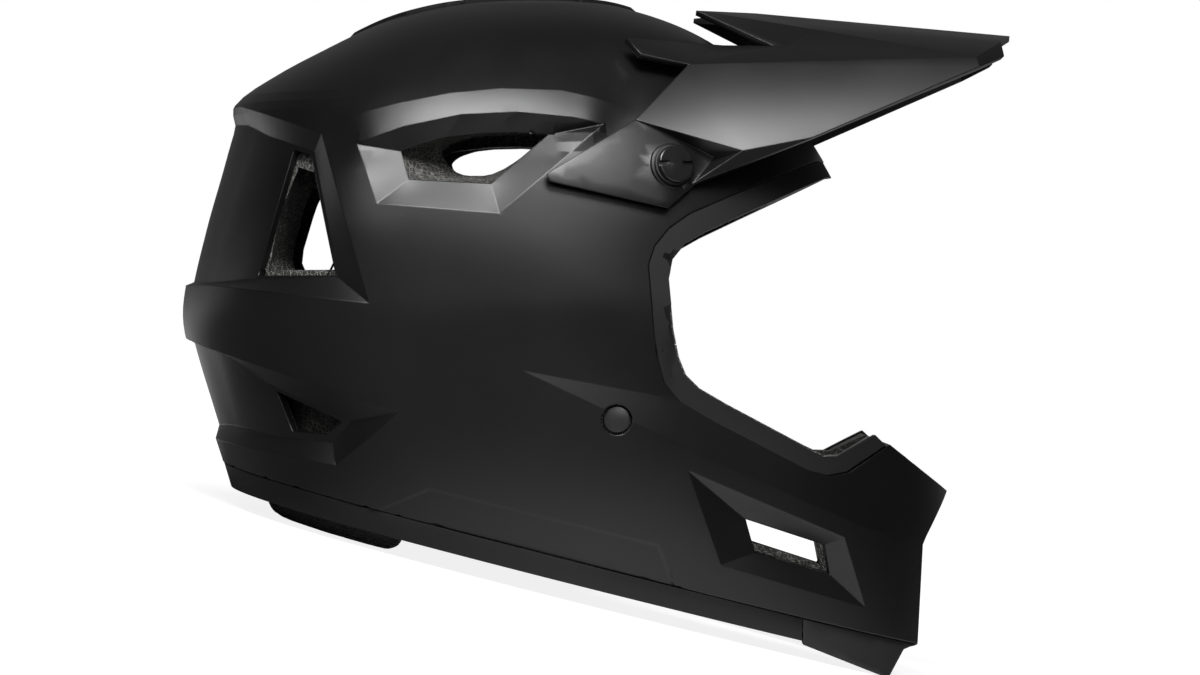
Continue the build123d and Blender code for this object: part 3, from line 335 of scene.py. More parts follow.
def cut_line(bm, a, b, plan=False, reach=CUT_REACH):
    """Cuts the skin from a to b of the side view, or of the plan, and gives the cut's points."""
    start, end = (Vector((x, w, 0) if plan else (x, 0, w)) for x, w in (a, b))
    run = end - start
    length = run.length
    run /= length
    normal = Vector((-run.y, run.x, 0) if plan else (-run.z, 0, run.x))
    faces = set()
    for edge in bm.edges:
        p, q = edge.verts[0].co - start, edge.verts[1].co - start
        dp, dq = p.dot(normal), q.dot(normal)
        if (dp > 1e-6 and dq > 1e-6) or (dp < -1e-6 and dq < -1e-6):
            continue
        t = dp / (dp - dq) if abs(dp - dq) > 1e-9 else 0.5
        along = p.dot(run) + t * (q.dot(run) - p.dot(run))
        if -reach < along < length + reach:
            faces.update(edge.link_faces)
    geom = list(faces) + list({e for f in faces for e in f.edges}) + list({v for f in faces for v in f.verts})
    cut = bmesh.ops.bisect_plane(bm, geom=geom, dist=1e-6, plane_co=start, plane_no=normal)
    return [v for v in cut["geom_cut"] if isinstance(v, bmesh.types.BMVert)]


def cut_outline(bm, shares, keep, closed=True):
    """Cuts the skin along an outline of side-view shares."""
    points = [side(share) for share in shares]
    for a, b in zip(points, points[1:] + (points[:1] if closed else [])):
        keep.update(cut_line(bm, a, b))


def skin_half(bm):
    """The plain shell's skin on the wearer's right, from a grid bent round the form."""
    bmesh.ops.create_grid(bm, x_segments=SKIN_AROUND, y_segments=SKIN_UP, size=0.5)
    for vert in bm.verts:
        turn, rise = (vert.co.x + 0.5) * math.pi, vert.co.y + 0.5
        if rise < DOME_START:
            level = SKIN_BOTTOM + (DOME_LEVEL - SKIN_BOTTOM) * rise / DOME_START
        else:
            level = FORM_TOP - (FORM_TOP - DOME_LEVEL) * ((1 - rise) / (1 - DOME_START)) ** 2
        rear, widest, front, width = form_at(level)
        c, s = -math.cos(turn), math.sin(turn)
        reach, power = (front - widest, FRONT_POWER) if c > 0 else (widest - rear, REAR_POWER)
        vert.co = (
            widest + math.copysign(reach * abs(c) ** (2 / power), c),
            -width * abs(s) ** (2 / power),
            level * HEIGHT,
        )
    bmesh.ops.remove_doubles(bm, verts=bm.verts, dist=1e-5)


def recess_depth(outer, inner, u, v, y):
    """Depth of a rear recess, shallow at the middle of the back."""
    hit = facet_at(outer, inner, u, v)
    t = hit[2] if hit else 1.0 if inside(inner, u, v) else 0.0
    return t * (RECESS_REAR + (RECESS_DEPTH - RECESS_REAR) * ease(abs(y) / RECESS_TURN))


def line_height(shares, u):
    """Height of a line of shares at u, in metres."""
    points = [side(share) for share in shares]
    for a, b in zip(points, points[1:]):
        if u <= b[0]:
            break
    return a[1] + (b[1] - a[1]) * min(1.0, max(0.0, (u - a[0]) / (b[0] - a[0])))


def cheek_dip(u, v):
    """Depth of the chamfer above the cheek's crease, which runs from a point back to the chin's front."""
    tip, end = side(CHEEK_CREASE[0])[0], side(CHEEK_VALLEY[-1])[0]
    crease = line_height(CHEEK_CREASE, u)
    if u < tip or v < crease or v > CHEEK_TOP * HEIGHT:
        return 0.0
    if u > end:
        nose = 1 - ease((u / LENGTH - CHEEK_END_SHARES[0]) / (CHEEK_END_SHARES[1] - CHEEK_END_SHARES[0]))
        return nose * min(CHEEK_DEPTH, CHEEK_SLOPE * (v - crease))
    valley = line_height(CHEEK_VALLEY, u)
    if v < valley:
        return CHEEK_SLOPE * (v - crease)
    return CHEEK_SLOPE * (valley - crease) * (1 - ease((v - valley) / CHEEK_FADE))


def brow_rise(u, v):
    """Height of the ridge over the side vent, which fades out above it and at both ends."""
    gap, along = polyline_gap(BROW_CREASE, u, v)
    ends = ease(along / BROW_FADE) * ease((BROW_END - along) / BROW_FADE)
    if gap > 0:
        return BROW_RISE * ends * max(0.0, 1 - gap / BROW_ABOVE) ** 2
    return BROW_RISE * ends * (1 - ease((-gap - BROW_BELOW) / BROW_BELOW))


def spine_rise(u, y):
    """Height of the raised band along the crown at a place of the plan."""
    (ru, ry), (su, sy), (tu, ty), (fu, fy) = SPINE_PLAN
    far = abs(y)
    rear = ((u - ru * LENGTH) * sy - far * (su - ru) * LENGTH) / math.hypot(sy, (su - ru) * LENGTH)
    front = ((fu * LENGTH - u) * ty - far * (fu - tu) * LENGTH) / math.hypot(ty, (fu - tu) * LENGTH)
    return SPINE_RISE * min(1.0, max(0.0, min(rear, front, sy - far) / SPINE_BEVEL))


def panel_depth(u, v):
    """Depth of the side panel over the rim, behind its narrow bevel."""
    if not inside(SIDE_PANEL, u, v):
        return 0.0
    gap = min(abs(polyline_gap(SIDE_PANEL[i:i + 2], u, v)[0]) for i in range(3))
    return PANEL_DEPTH * min(1.0, gap / PANEL_BEVEL)


def relief(place):
    """How far the dressed skin stands out from the plain shell there, in metres."""
    u, y, v = place
    out = brow_rise(u, v) - cheek_dip(u, v) - panel_depth(u, v)
    if v > SPINE_LEVEL * HEIGHT:
        out += spine_rise(u, y)
    for outer, inner in RECESSES:
        out -= recess_depth(outer, inner, u, v, y)
    return out


def sunk(place, normal):
    """Where a point of the plain skin lies in the dressed one: in a vent's funnel, or raised or sunk."""
    u, y, v = place
    for mouth, throat, depth in FUNNELS:
        hit = facet_at(mouth, throat, u, v)
        if not hit and inside(throat, u, v):
            return Vector((u, depth - half_width_at(u, v), v))
        if hit:
            edge, along, across = hit
            ends = [edge, (edge + 1) % len(mouth)]
            (au, av), (bu, bv) = (side(mouth[i]) for i in ends)
            (cu, cv), (du, dv) = (side(throat[i]) for i in ends)
            eu, ev = au + along * (bu - au), av + along * (bv - av)
            lip = half_width_at(eu, ev)
            floor = (1 - along) * half_width_at(cu, cv) + along * half_width_at(du, dv) - depth
            level = (1 - across) * lip + across * floor
            return Vector((u, -level, v)) + normal * (1 - across) * relief((eu, -lip, ev))
    out = relief(place)
    sideways = ease((abs(normal.y) - SIDEWAYS) / SIDEWAYS) if out < 0 else 0.0
    straight = Vector((0, normal.y / max(normal.y ** 2, SIDEWAYS ** 2), 0))
    return place + normal.lerp(straight, sideways) * out


def chin_front(v):
    """Furthest forward that the shell reaches at a height, behind the chin's profile."""
    points = [side(share) for share in CHIN_SHARES]
    if v >= points[0][1]:
        rise = v - points[0][1]
        return points[0][0] - rise if rise < CHIN_CUT else LENGTH
    for (au, av), (bu, bv) in zip(points, points[1:]):
        if v >= bv:
            return bu + (au - bu) * (v - bv) / (av - bv)
    return points[-1][0]


def shrunk(shares, amount):
    """An outline of shares moved inwards by amount, in metres."""
    points = [side(share) for share in shares]
    count = len(points)
    area = sum(a[0] * b[1] - b[0] * a[1] for a, b in zip(points, points[1:] + points[:1]))
    turn = math.copysign(1, area)
    moved = []
    for i in range(count):
        before, here, after = (Vector(points[j % count]) for j in (i - 1, i, i + 1))
        a, b = (here - before).normalized(), (after - here).normalized()
        na, nb = Vector((-a.y, a.x)) * turn, Vector((-b.y, b.x)) * turn
        here = here + amount * (na + nb) / (1 + na.dot(nb))
        moved.append((here.x / LENGTH, here.y / HEIGHT))
    return moved


def finish_mesh(bm, name, sharp=math.radians(28)):
    """Makes the bmesh an object, smooth but for its borders and the edges past the sharp angle."""
    for face in bm.faces:
        face.smooth = True
    for edge in bm.edges:
        edge.smooth = edge.is_manifold and edge.calc_face_angle(0) < sharp
    mesh = bpy.data.meshes.new(name)
    bm.to_mesh(mesh)
    bm.free()
    piece = bpy.data.objects.new(name, mesh)
    bpy.context.scene.collection.objects.link(piece)
    return piece


def build_shell(sizes):
    """The shell's skin with its recesses, vents, creases and openings, given its wall."""
    bm = bmesh.new()
    skin_half(bm)
    keep = set()
    for outline in (RECESS_OUTER, RECESS_INNER, LOW_OUTER, LOW_INNER, REAR_VENT, LOW_VENT):
        cut_outline(bm, outline, keep)
    for outer, inner in [funnel[:2] for funnel in FUNNELS] + list(RECESSES):
        for a, b in zip(outer, inner):
            if a[0] > 0:
                keep.update(cut_line(bm, side(a), side(b)))
    for outline in (SIDE_MOUTH, SIDE_THROAT, CHIN_MOUTH, CHIN_THROAT, EYEPORT, SIDE_PANEL):
        cut_outline(bm, outline, keep)
    cut_outline(bm, shrunk(SIDE_PANEL, PANEL_BEVEL), keep)
    for line in (BROW_CREASE, CHEEK_CREASE, CHEEK_VALLEY, CHIN_SHARES):
        cut_outline(bm, line, keep, closed=False)
    ring_u, ring_v = side(RIVET_SHARE)
    ring = [(ring_u + RIVET_HOLE * math.cos(i * math.tau / RING_SIDES),
             ring_v + RIVET_HOLE * math.sin(i * math.tau / RING_SIDES)) for i in range(RING_SIDES)]
    for a, b in zip(ring, ring[1:] + ring[:1]):
        keep.update(cut_line(bm, a, b, reach=RING_REACH))
    plan = [(u * LENGTH, -y) for u, y in SPINE_PLAN]
    (ru, ry), (su, sy), (tu, ty), (fu, fy) = plan
    inner_plan = [(ru + 2 * SPINE_BEVEL, ry), (su + SPINE_BEVEL / 2, sy + SPINE_BEVEL),
                  (tu - SPINE_BEVEL / 2, ty + SPINE_BEVEL), (fu - 2 * SPINE_BEVEL, fy)]
    low = [v for v in bm.verts if v.co.z < SPINE_LEVEL * HEIGHT]
    for vert in low:
        vert.co.y -= 1
    for line in (plan, inner_plan):
        for a, b in zip(line, line[1:]):
            keep.update(cut_line(bm, a, b, plan=True))
    for vert in low:
        vert.co.y += 1
    cut_outline(bm, INTAKE, keep)
    bmesh.ops.bisect_plane(bm, geom=bm.faces[:] + bm.edges[:] + bm.verts[:], dist=1e-6, clear_inner=True,
                           plane_co=STANDING.inverted() @ Vector((0, 0, RIM_TOP)),
                           plane_no=Vector((math.sin(LEAN), 0, math.cos(LEAN))))
    middle = {v for v in bm.verts if abs(v.co.y) < 1e-6}
    keep = [v for v in keep | middle if v.is_valid]
    pairs = bmesh.ops.find_doubles(bm, verts=bm.verts, keep_verts=keep, dist=WELD_REACH)
    bmesh.ops.weld_verts(bm, targetmap=pairs["targetmap"])
    bmesh.ops.holes_fill(bm, edges=[e for e in bm.edges if e.is_boundary], sides=HOLE_SIDES)
    bmesh.ops.recalc_face_normals(bm, faces=bm.faces)
    bm.normal_update()
    if sum(f.normal.y * f.calc_area() for f in bm.faces) > 0:
        bmesh.ops.reverse_faces(bm, faces=bm.faces)
        bm.normal_update()
    gone = []
    for face in bm.faces:
        u, y, v = face.calc_center_median()
        hole = any(inside(outline, u, v) for outline in SKIN_HOLES)
        rivet = math.hypot(u - ring_u, v - ring_v) < RIVET_HOLE * RIVET_INSIDE
        if hole or rivet or (inside(INTAKE, u, v) and abs(y) < INTAKE_HALF_WIDTH):
            gone.append(face)
    moved = {}
    for vert in bm.verts:
        place, normal = vert.co.copy(), vert.normal.copy()
        if place.z < SMOOTH_LEVEL * HEIGHT:
            normal = form_slope(place)[0]
            if abs(normal.y) > SIDEWAYS:
                place.y = -half_width_at(place.x, place.z)
            normal = form_slope(place)[0]
        if abs(vert.co.y) < 1e-5:
            normal.y = 0
            normal.normalize()
        spot = sunk(place, normal)
        spot.x = min(spot.x, chin_front(spot.z))
        if abs(vert.co.y) < 1e-5:
            spot.y = 0
        moved[vert] = spot
    for vert, spot in moved.items():
        vert.co = spot
    bmesh.ops.delete(bm, geom=gone, context="FACES")
    loose = [v for v in bm.verts if not v.link_faces]
    bmesh.ops.delete(bm, geom=loose, context="VERTS")
    bmesh.ops.mirror(bm, geom=bm.faces[:] + bm.edges[:] + bm.verts[:], axis="Y", merge_dist=1e-5)
    bmesh.ops.remove_doubles(bm, verts=bm.verts, dist=1e-6)
    bmesh.ops.recalc_face_normals(bm, faces=bm.faces)
    bm.normal_update()
    top = max(bm.faces, key=lambda f: f.calc_center_median().z)
    if top.normal.z < 0:
        bmesh.ops.reverse_faces(bm, faces=bm.faces)
    bmesh.ops.transform(bm, matrix=STANDING, verts=bm.verts)
    shell = finish_mesh(bm, "shell", SKIN_SHARP)
    wall = shell.modifiers.new("wall", "SOLIDIFY")
    wall.thickness, wall.offset = sizes.wall, -1
    return shell


def copied(node, merge=1e-6, flat=math.radians(0.6)):
    """A CAD node's shape as a bmesh, with its loose triangles joined into flat faces."""
    bm = bmesh.new()
    bm.from_mesh(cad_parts[node].data)
    bmesh.ops.remove_doubles(bm, verts=bm.verts, dist=merge)
    bmesh.ops.dissolve_limit(bm, angle_limit=flat, verts=bm.verts, edges=bm.edges, delimit=set())
    bm.normal_update()
    return bm


def rounded(bm, offset, past=math.radians(25), segments=2):
    """Rounds every edge of the bmesh that is sharper than an angle."""
    edges = [e for e in bm.edges if e.is_manifold and e.calc_face_angle(0) > past]
    if edges and offset:
        bmesh.ops.bevel(bm, geom=edges, offset=offset, offset_type="OFFSET", segments=segments, profile=0.5,
                        affect="EDGES", clamp_overlap=True, material=-1)
    return bm


def rounded_outline(shares, rounds=2):
    """An outline of shares with its corners cut, as places of the level frame."""
    points = [Vector(side(share)) for share in shares]
    for _ in range(rounds):
        points = [a.lerp(b, t) for a, b in zip(points, points[1:] + points[:1]) for t in (0.2, 0.8)]
    return points


def skin_level(u, v):
    """Distance from the middle to the dressed skin at a side-view place, and its lean there."""
    place = Vector((u, -half_width_at(u, v), v))
    normal = form_slope(place)[0]
    return -sunk(place, normal).y, max(SIDEWAYS, -normal.y)


def foam_collar(name, opening, hole, reach, hand):
    """A ring of foam behind a vent, which narrows inwards from the shell's opening to its own hole."""
    side_sign = 1 if hand == "left" else -1
    mouth, throat = rounded_outline(shrunk(opening, -COLLAR_LAP)), rounded_outline(hole)
    rear, front = min(point.x for point in mouth), max(point.x for point in mouth)
    rings = []
    for points, deep in ((mouth, False), (throat, True), (mouth, True)):
        ring = []
        for at, point in zip(mouth, points):
            level, lean = skin_level(*at)
            far = COLLAR_WALL / lean
            if deep:
                far = reach[0] + (reach[1] - reach[0]) * (at.x - rear) / (front - rear)
            ring.append(Vector((point.x, side_sign * (level - far), point.y)))
        rings.append(ring)
    bm = bmesh.new()
    verts = [bm.verts.new(place) for place in rings[0]]
    edges = [bm.edges.new(pair) for pair in zip(verts, verts[1:] + verts[:1])]
    for before, after in zip(rings, rings[1:] + rings[:1]):
        made = bmesh.ops.extrude_edge_only(bm, edges=edges)["geom"]
        verts = {item for item in made if isinstance(item, bmesh.types.BMVert)}
        edges = [item for item in made if isinstance(item, bmesh.types.BMEdge) and set(item.verts) <= verts]
        for vert in verts:
            vert.co = after[min(range(len(before)), key=lambda i: (before[i] - vert.co).length)]
    bmesh.ops.remove_doubles(bm, verts=bm.verts, dist=1e-6)
    bmesh.ops.recalc_face_normals(bm, faces=bm.faces)
    bmesh.ops.transform(bm, matrix=STANDING, verts=bm.verts)
    return finish_mesh(bm, f"{name}_{hand}")


def settle(piece, node_names, body, material):
    """Gives a finished piece its material and its body, and hides the CAD nodes that it stands for."""
    piece.data.materials.clear()
    piece.data.materials.append(material)
    if node_names:
        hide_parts(*node_names)
    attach(piece, body)
    return piece


def dress(node, body, material, offset=0.0004, merge=1e-6, moved=None, cell=0.005):
    """A rounded copy of a CAD node, which it replaces."""
    bm = copied(node, merge)
    if moved:
        bmesh.ops.triangulate(bm, faces=bm.faces)
        for _ in range(5):
            long = [e for e in bm.edges if e.calc_length() > cell]
            bmesh.ops.subdivide_edges(bm, edges=long, cuts=1)
            bmesh.ops.triangulate(bm, faces=[f for f in bm.faces if len(f.verts) > 3])
        for vert in bm.verts:
            vert.co = moved(vert.co.copy())
    piece = finish_mesh(rounded(bm, offset), f"{node}_dressed")
    return settle(piece, [node], body, material)


def tinted(colour, factor):
    """A colour, lighter or darker by a factor."""
    return tuple(min(1.0, c * factor) for c in colour)


def added(tree, kind, **inputs):
    """A new shader node, with values or links for its inputs."""
    node = tree.nodes.new(f"ShaderNode{kind}")
    for key, value in inputs.items():
        socket = node.inputs[key.replace("_", " ")]
        if isinstance(value, bpy.types.NodeSocket):
            tree.links.new(value, socket)
        else:
            socket.default_value = value
    return node


def ranged(tree, source, start, end):
    """A value brought from one range to another."""
    limits = {"From_Min": start[0], "From_Max": start[1], "To_Min": end[0], "To_Max": end[1]}
    return added(tree, "MapRange", Value=source, **limits).outputs["Result"]


def joined(tree, operation, a, b):
    """Two values joined by a Math node."""
    node = added(tree, "Math")
    node.operation = operation
    for source, socket in zip((a, b), node.inputs):
        tree.links.new(source, socket)
    return node.outputs["Value"]


def mixed(tree, source, first, second):
    """A colour between two, by a value."""
    node = added(tree, "Mix", Factor=source)
    node.data_type = "RGBA"
    node.inputs["A"].default_value, node.inputs["B"].default_value = (*first, 1), (*second, 1)
    return node.outputs["Result"]


class Finish:
    """A material on a Principled shader, with the texture nodes that the finishes share."""

    def __init__(self, name, colour, roughness, **sockets):
        self.material = bpy.data.materials.new(name)
        self.material.use_nodes = True
        self.tree = self.material.node_tree
        self.shader = self.tree.nodes["Principled BSDF"]
        self.shader.inputs["Base Color"].default_value = (*colour, 1)
        self.shader.inputs["Roughness"].default_value = roughness
        for socket, value in sockets.items():
            self.shader.inputs[socket.replace("_", " ")].default_value = value
        self.place = added(self.tree, "TexCoord").outputs["Object"]

    def texture(self, kind, scale, **values):
        node = added(self.tree, f"Tex{kind}", Scale=scale, Vector=self.place)
        for key, value in values.items():
            if key in node.inputs:
                node.inputs[key].default_value = value
            else:
                setattr(node, key, value)
        return node

    def ranged(self, source, low, high, start=0.0, end=1.0):
        return ranged(self.tree, source, (start, end), (low, high))

    def drive(self, socket, source):
        self.tree.links.new(source, self.shader.inputs[socket])

    def coloured(self, source, first, second):
        self.drive("Base Color", mixed(self.tree, source, first, second))

    def bumped(self, height, distance, strength=1.0):
        node = added(self.tree, "Bump", Distance=distance, Strength=strength, Height=height)
        previous = self.shader.inputs["Normal"].links
        if previous:
            self.tree.links.new(previous[0].from_socket, node.inputs["Normal"])
        self.drive("Normal", node.outputs["Normal"])

    def softened(self, radius):
        node = added(self.tree, "Bevel", Radius=radius)
        node.samples = BEVEL_SAMPLES
        self.drive("Normal", node.outputs["Normal"])


def moulded(name, colour, roughness, grain=1400.0, depth=0.00002, soft=0.0, **sockets):
    """Black moulded or painted plastic: a fine grain, and a roughness that drifts a little."""
    finish = Finish(name, colour, roughness, **sockets)
    if soft:
        finish.softened(soft)
    drift = finish.texture("Noise", 18.0, Detail=3.0).outputs["Fac"]
    finish.drive("Roughness", finish.ranged(drift, roughness - 0.03, roughness + 0.04, 0.3, 0.7))
    blotches = finish.texture("Noise", 55.0, Detail=4.0)
    finish.coloured(blotches.outputs["Fac"], colour, tinted(colour, 1.25))
    finish.bumped(finish.texture("Noise", grain, Detail=2.0).outputs["Fac"], depth)
    return finish.material


def bead_foam(name, colour):
    """Expanded bead foam: packed dark beads about two millimetres across, with paler walls between them,
    which a painted glint makes brighter on some beads than on others.
    """
    finish = Finish(name, colour, 0.55)
    beads = finish.texture("Voronoi", BEAD_SCALE)
    gaps = finish.texture("Voronoi", BEAD_SCALE, feature="DISTANCE_TO_EDGE")
    walls = finish.ranged(gaps.outputs["Distance"], 1.0, 0.0, 0.02, 0.16)
    # Painted glint: each bead's pale walls are made brighter or dimmer at random, as if it caught the light
    painted_glint = finish.ranged(beads.outputs["Color"], 0.25, 1.0, 0.2, 0.9)
    finish.coloured(joined(finish.tree, "MULTIPLY", walls, painted_glint), tinted(colour, 0.35), tinted(colour, 2.2))
    finish.bumped(finish.ranged(gaps.outputs["Distance"], 0.0, 1.0, 0.0, 0.12), 0.0004, 0.7)
    finish.drive("Roughness", finish.ranged(beads.outputs["Color"], 0.35, 0.75))
    return finish.material


def knit(name, colour):
    """Padded mesh knit: small holes in offset rows, painted darker as shade in them, with a soft sheen."""
    finish = Finish(name, colour, 0.85, Sheen_Weight=0.25, Sheen_Roughness=0.6)
    cells = finish.texture("Voronoi", 700.0, Randomness=0.25)
    holes = finish.ranged(cells.outputs["Distance"], 0.0, 1.0, 0.15, 0.5)
    # Painted shade: the knit is darker in its holes and lighter between them
    finish.coloured(holes, tinted(colour, 0.35), tinted(colour, 1.5))
    finish.bumped(holes, 0.0005, 0.8)
    finish.bumped(finish.texture("Noise", 90.0, Detail=3.0).outputs["Fac"], 0.0006, 0.5)
    return finish.material


def woven(name, colour):
    """Flat webbing: ribs across it and threads along it, painted darker where they dip, as shade in the
    weave's grooves.
    """
    finish = Finish(name, colour, 0.75, Sheen_Weight=0.15)
    ribs = finish.texture("Wave", 320.0, bands_direction="Y", Distortion=0.4)
    threads = finish.texture("Wave", 520.0, bands_direction="X", Distortion=0.3)
    weave = joined(finish.tree, "MULTIPLY", ribs.outputs["Fac"], threads.outputs["Fac"])
    # Painted shade: darker where the ribs and threads dip
    finish.coloured(weave, tinted(colour, 0.5), tinted(colour, 1.6))
    finish.bumped(weave, 0.0003, 0.9)
    return finish.material


def metal(name, colour, roughness):
    """Drawn or turned metal with fine brushing."""
    finish = Finish(name, colour, roughness, Metallic=1.0)
    brush = finish.texture("Noise", 900.0, Detail=2.0)
    finish.drive("Roughness", finish.ranged(brush.outputs["Fac"], roughness - 0.08, roughness + 0.1))
    finish.bumped(brush.outputs["Fac"], 0.00001)
    return finish.material


def baked(piece):
    """Applies a piece's modifiers to its mesh."""
    bpy.context.view_layer.update()
    depsgraph = bpy.context.evaluated_depsgraph_get()
    old, mesh = piece.data, bpy.data.meshes.new_from_object(piece.evaluated_get(depsgraph))
    piece.modifiers.clear()
    piece.data = mesh
    bpy.data.meshes.remove(old)
    return piece


def smoothed(bm):
    """Evens out the points of a bmesh once."""
    bmesh.ops.smooth_vert(bm, verts=bm.verts, factor=0.5, use_axis_x=True, use_axis_y=True, use_axis_z=True)


def stuffed(node, body, material, voxel, swell, cap):
    """A padded piece from a CAD solid: remeshed, blown up by cloth pressure up to a cap, and smoothed."""
    piece = finish_mesh(copied(node), f"{node}_cushion")
    remesh = piece.modifiers.new("remesh", "REMESH")
    remesh.mode, remesh.voxel_size = "VOXEL", voxel
    baked(piece)
    bm = bmesh.new()
    bm.from_mesh(piece.data)
    smoothed(bm)
    bm.normal_update()
    for vert in bm.verts:
        vert.co -= vert.normal * swell
    bm.to_mesh(piece.data)
    bm.free()
    rest = [v.co.copy() for v in piece.data.vertices]
    cloth = piece.modifiers.new("cloth", "CLOTH")
    cloth.settings.use_pressure = True
    cloth.settings.uniform_pressure_force = CLOTH_PRESSURE
    cloth.settings.effector_weights.gravity = 0
    cloth.settings.quality = CLOTH_QUALITY
    cloth.point_cache.frame_end = CLOTH_FRAMES
    scene = bpy.context.scene
    for number in range(1, CLOTH_FRAMES + 1):
        scene.frame_set(number)
    baked(piece)
    scene.frame_set(1)
    bm = bmesh.new()
    bm.from_mesh(piece.data)
    bm.verts.ensure_lookup_table()
    for vert, start in zip(bm.verts, rest):
        move = vert.co - start
        if move.length > cap:
            vert.co = start + move.normalized() * cap
    for _ in range(2):
        smoothed(bm)
    for face in bm.faces:
        face.smooth = True
    bm.to_mesh(piece.data)
    bm.free()
    divide = piece.modifiers.new("smooth", "SUBSURF")
    divide.levels = divide.render_levels = 1
    settle(piece, [node], body, material)
    return piece


def size_setting(name, description, default):
    """A size that a user may change."""
    return FloatProperty(name=name, description=description, default=default, unit="LENGTH")


def colour_setting(name, description, default):
    """A colour that a user may change."""
    return FloatVectorProperty(name=name, description=description, subtype="COLOR", default=default)


class HelmetSizes(bpy.types.PropertyGroup):
    """Sizes of the helmet's dressed pieces."""

    wall: size_setting("Wall", "Thickness of the shell", 0.003)
    edge: size_setting("Edge", "Rounding of the moulded pieces", 0.0005)
    soft: size_setting("Soft edge", "Shading radius of the edges", 0.0008)
    voxel: size_setting("Pad mesh", "Cell size of the padded pieces", 0.0045)
    swell: size_setting("Pad swell", "How far a pad may swell", 0.003)


class HelmetColours(bpy.types.PropertyGroup):
    """Colours of the helmet's finishes."""

    shell: colour_setting("Shell", "Matte shell", (0.0035, 0.0035, 0.0038))
    plastic: colour_setting("Plastic", "Moulded parts", (0.0045, 0.0045, 0.0048))
    trim: colour_setting("Trim", "Soft edge trim", (0.005, 0.005, 0.0053))
    foam: colour_setting("Foam", "Bead foam", (0.10, 0.098, 0.094))
    fabric: colour_setting("Fabric", "Pads", (0.022, 0.022, 0.024))
    # Pale colour of the floor's painted pool of light as the object sees it; painted shade darkens it
    # elsewhere
    backdrop: colour_setting("Floor", "Floor as the object sees it", (0.8, 0.8, 0.8))


class HelmetOperator:
    """What the helmet's operators share."""

    bl_options = {"REGISTER", "UNDO"}

    sizes = property(lambda self: bpy.context.scene.helmet_sizes)
    colours = property(lambda self: bpy.context.scene.helmet_colours)


class HELMET_OT_shell(HelmetOperator, bpy.types.Operator):
    """Build the outer shell with its recesses, vents and creases"""

    bl_idname = "helmet.shell"
    bl_label = "Outer Shell"

    def execute(self, context):
        shell = build_shell(self.sizes)
        finish = moulded("matte_shell", tuple(self.colours.shell), 0.32, soft=self.sizes.soft)
        settle(shell, ["outer_shell"], "helmet", finish)
        return {"FINISHED"}


class HELMET_OT_visor(HelmetOperator, bpy.types.Operator):
    """Build the folded visor"""

    bl_idname = "helmet.visor"
    bl_label = "Visor"

    def execute(self, context):
        finish = moulded("matte_visor", tuple(self.colours.plastic), 0.34, soft=self.sizes.soft)
        dress("visor", "visor", finish, self.sizes.edge, merge=0.0004)
        return {"FINISHED"}


class HELMET_OT_trims(HelmetOperator, bpy.types.Operator):
    """Build the trims of the eyeport and the rim, the chin piece and the intake's grille"""

    bl_idname = "helmet.trims"
    bl_label = "Edge Trims"

    def execute(self, context):
        soft = moulded("soft_trim", tuple(self.colours.trim), 0.6, grain=2200.0, Specular_IOR_Level=0.35)
        rim = moulded("rim_plastic", tuple(self.colours.plastic), 0.45, Specular_IOR_Level=0.35)
        lip = moulded("chin_lip", tuple(self.colours.trim), 0.5, grain=2000.0)
        grille = moulded("grille_plastic", tuple(self.colours.plastic), 0.5)
        dress("eyeport_trim", "helmet", soft, self.sizes.edge, moved=follow_skin)
        dress("rim_trim", "helmet", rim, self.sizes.edge)
        dress("chin_piece", "helmet", lip, self.sizes.edge)
        dress("chin_grille", "helmet", grille, self.sizes.edge / 2)
        return {"FINISHED"}


class HELMET_OT_foam(HelmetOperator, bpy.types.Operator):
    """Build the bead foam of the crown and the chin bar"""

    bl_idname = "helmet.foam"
    bl_label = "Foam Liner"

    def execute(self, context):
        finish = bead_foam("bead_foam", tuple(self.colours.foam))
        dress("crown_foam", "helmet", finish, 0.0, moved=under_skin, cell=FOAM_CELL)
        dress("chin_bar_foam", "helmet", finish, 0.0)
        for hand in HANDS:
            for name, opening, hole, reach in (
                ("side_vent_foam", SIDE_THROAT, SIDE_HOLE, SIDE_COLLAR),
                ("rear_vent_foam", REAR_VENT, REAR_HOLE, REAR_COLLAR),
            ):
                settle(foam_collar(name, opening, hole, reach, hand), [], "helmet", finish)
        return {"FINISHED"}


class HELMET_OT_pads(HelmetOperator, bpy.types.Operator):
    """Build the neck roll and the comfort pads as stuffed pieces"""

    bl_idname = "helmet.pads"
    bl_label = "Pads"

    def execute(self, context):
        finish = knit("pad_knit", tuple(self.colours.fabric))
        sizes = self.sizes
        for node in ("neck_roll", "crown_pad", "brow_pad", "nape_pad"):
            stuffed(node, "helmet", finish, sizes.voxel, sizes.swell / 3, sizes.swell)
        for hand in HANDS:
            node = f"cheek_pad_{hand}"
            stuffed(node, node, finish, sizes.voxel, sizes.swell / 2, sizes.swell)
        return {"FINISHED"}


class HELMET_OT_straps(HelmetOperator, bpy.types.Operator):
    """Build the chin strap's webbing, its rings and its snap"""

    bl_idname = "helmet.straps"
    bl_label = "Chin Strap"

    def execute(self, context):
        webbing = woven("webbing", tuple(self.colours.fabric))
        steel = metal("ring_steel", (0.42, 0.42, 0.43), 0.32)
        for hand in HANDS:
            dress(f"strap_upper_{hand}", "helmet", webbing, 0.0003)
            dress(f"strap_anchor_{hand}", "helmet", steel, 0.0002)
        for node in ("strap_ring_end", "strap_loose_end"):
            dress(node, "strap_loop", webbing, 0.0003)
        for node in ("d_ring_upper", "d_ring_lower"):
            dress(node, "strap_loop", steel, 0.0)
        dress("strap_snap", "strap_loop", moulded("snap_cap", (0.03, 0.03, 0.03), 0.3), 0.0)
        return {"FINISHED"}


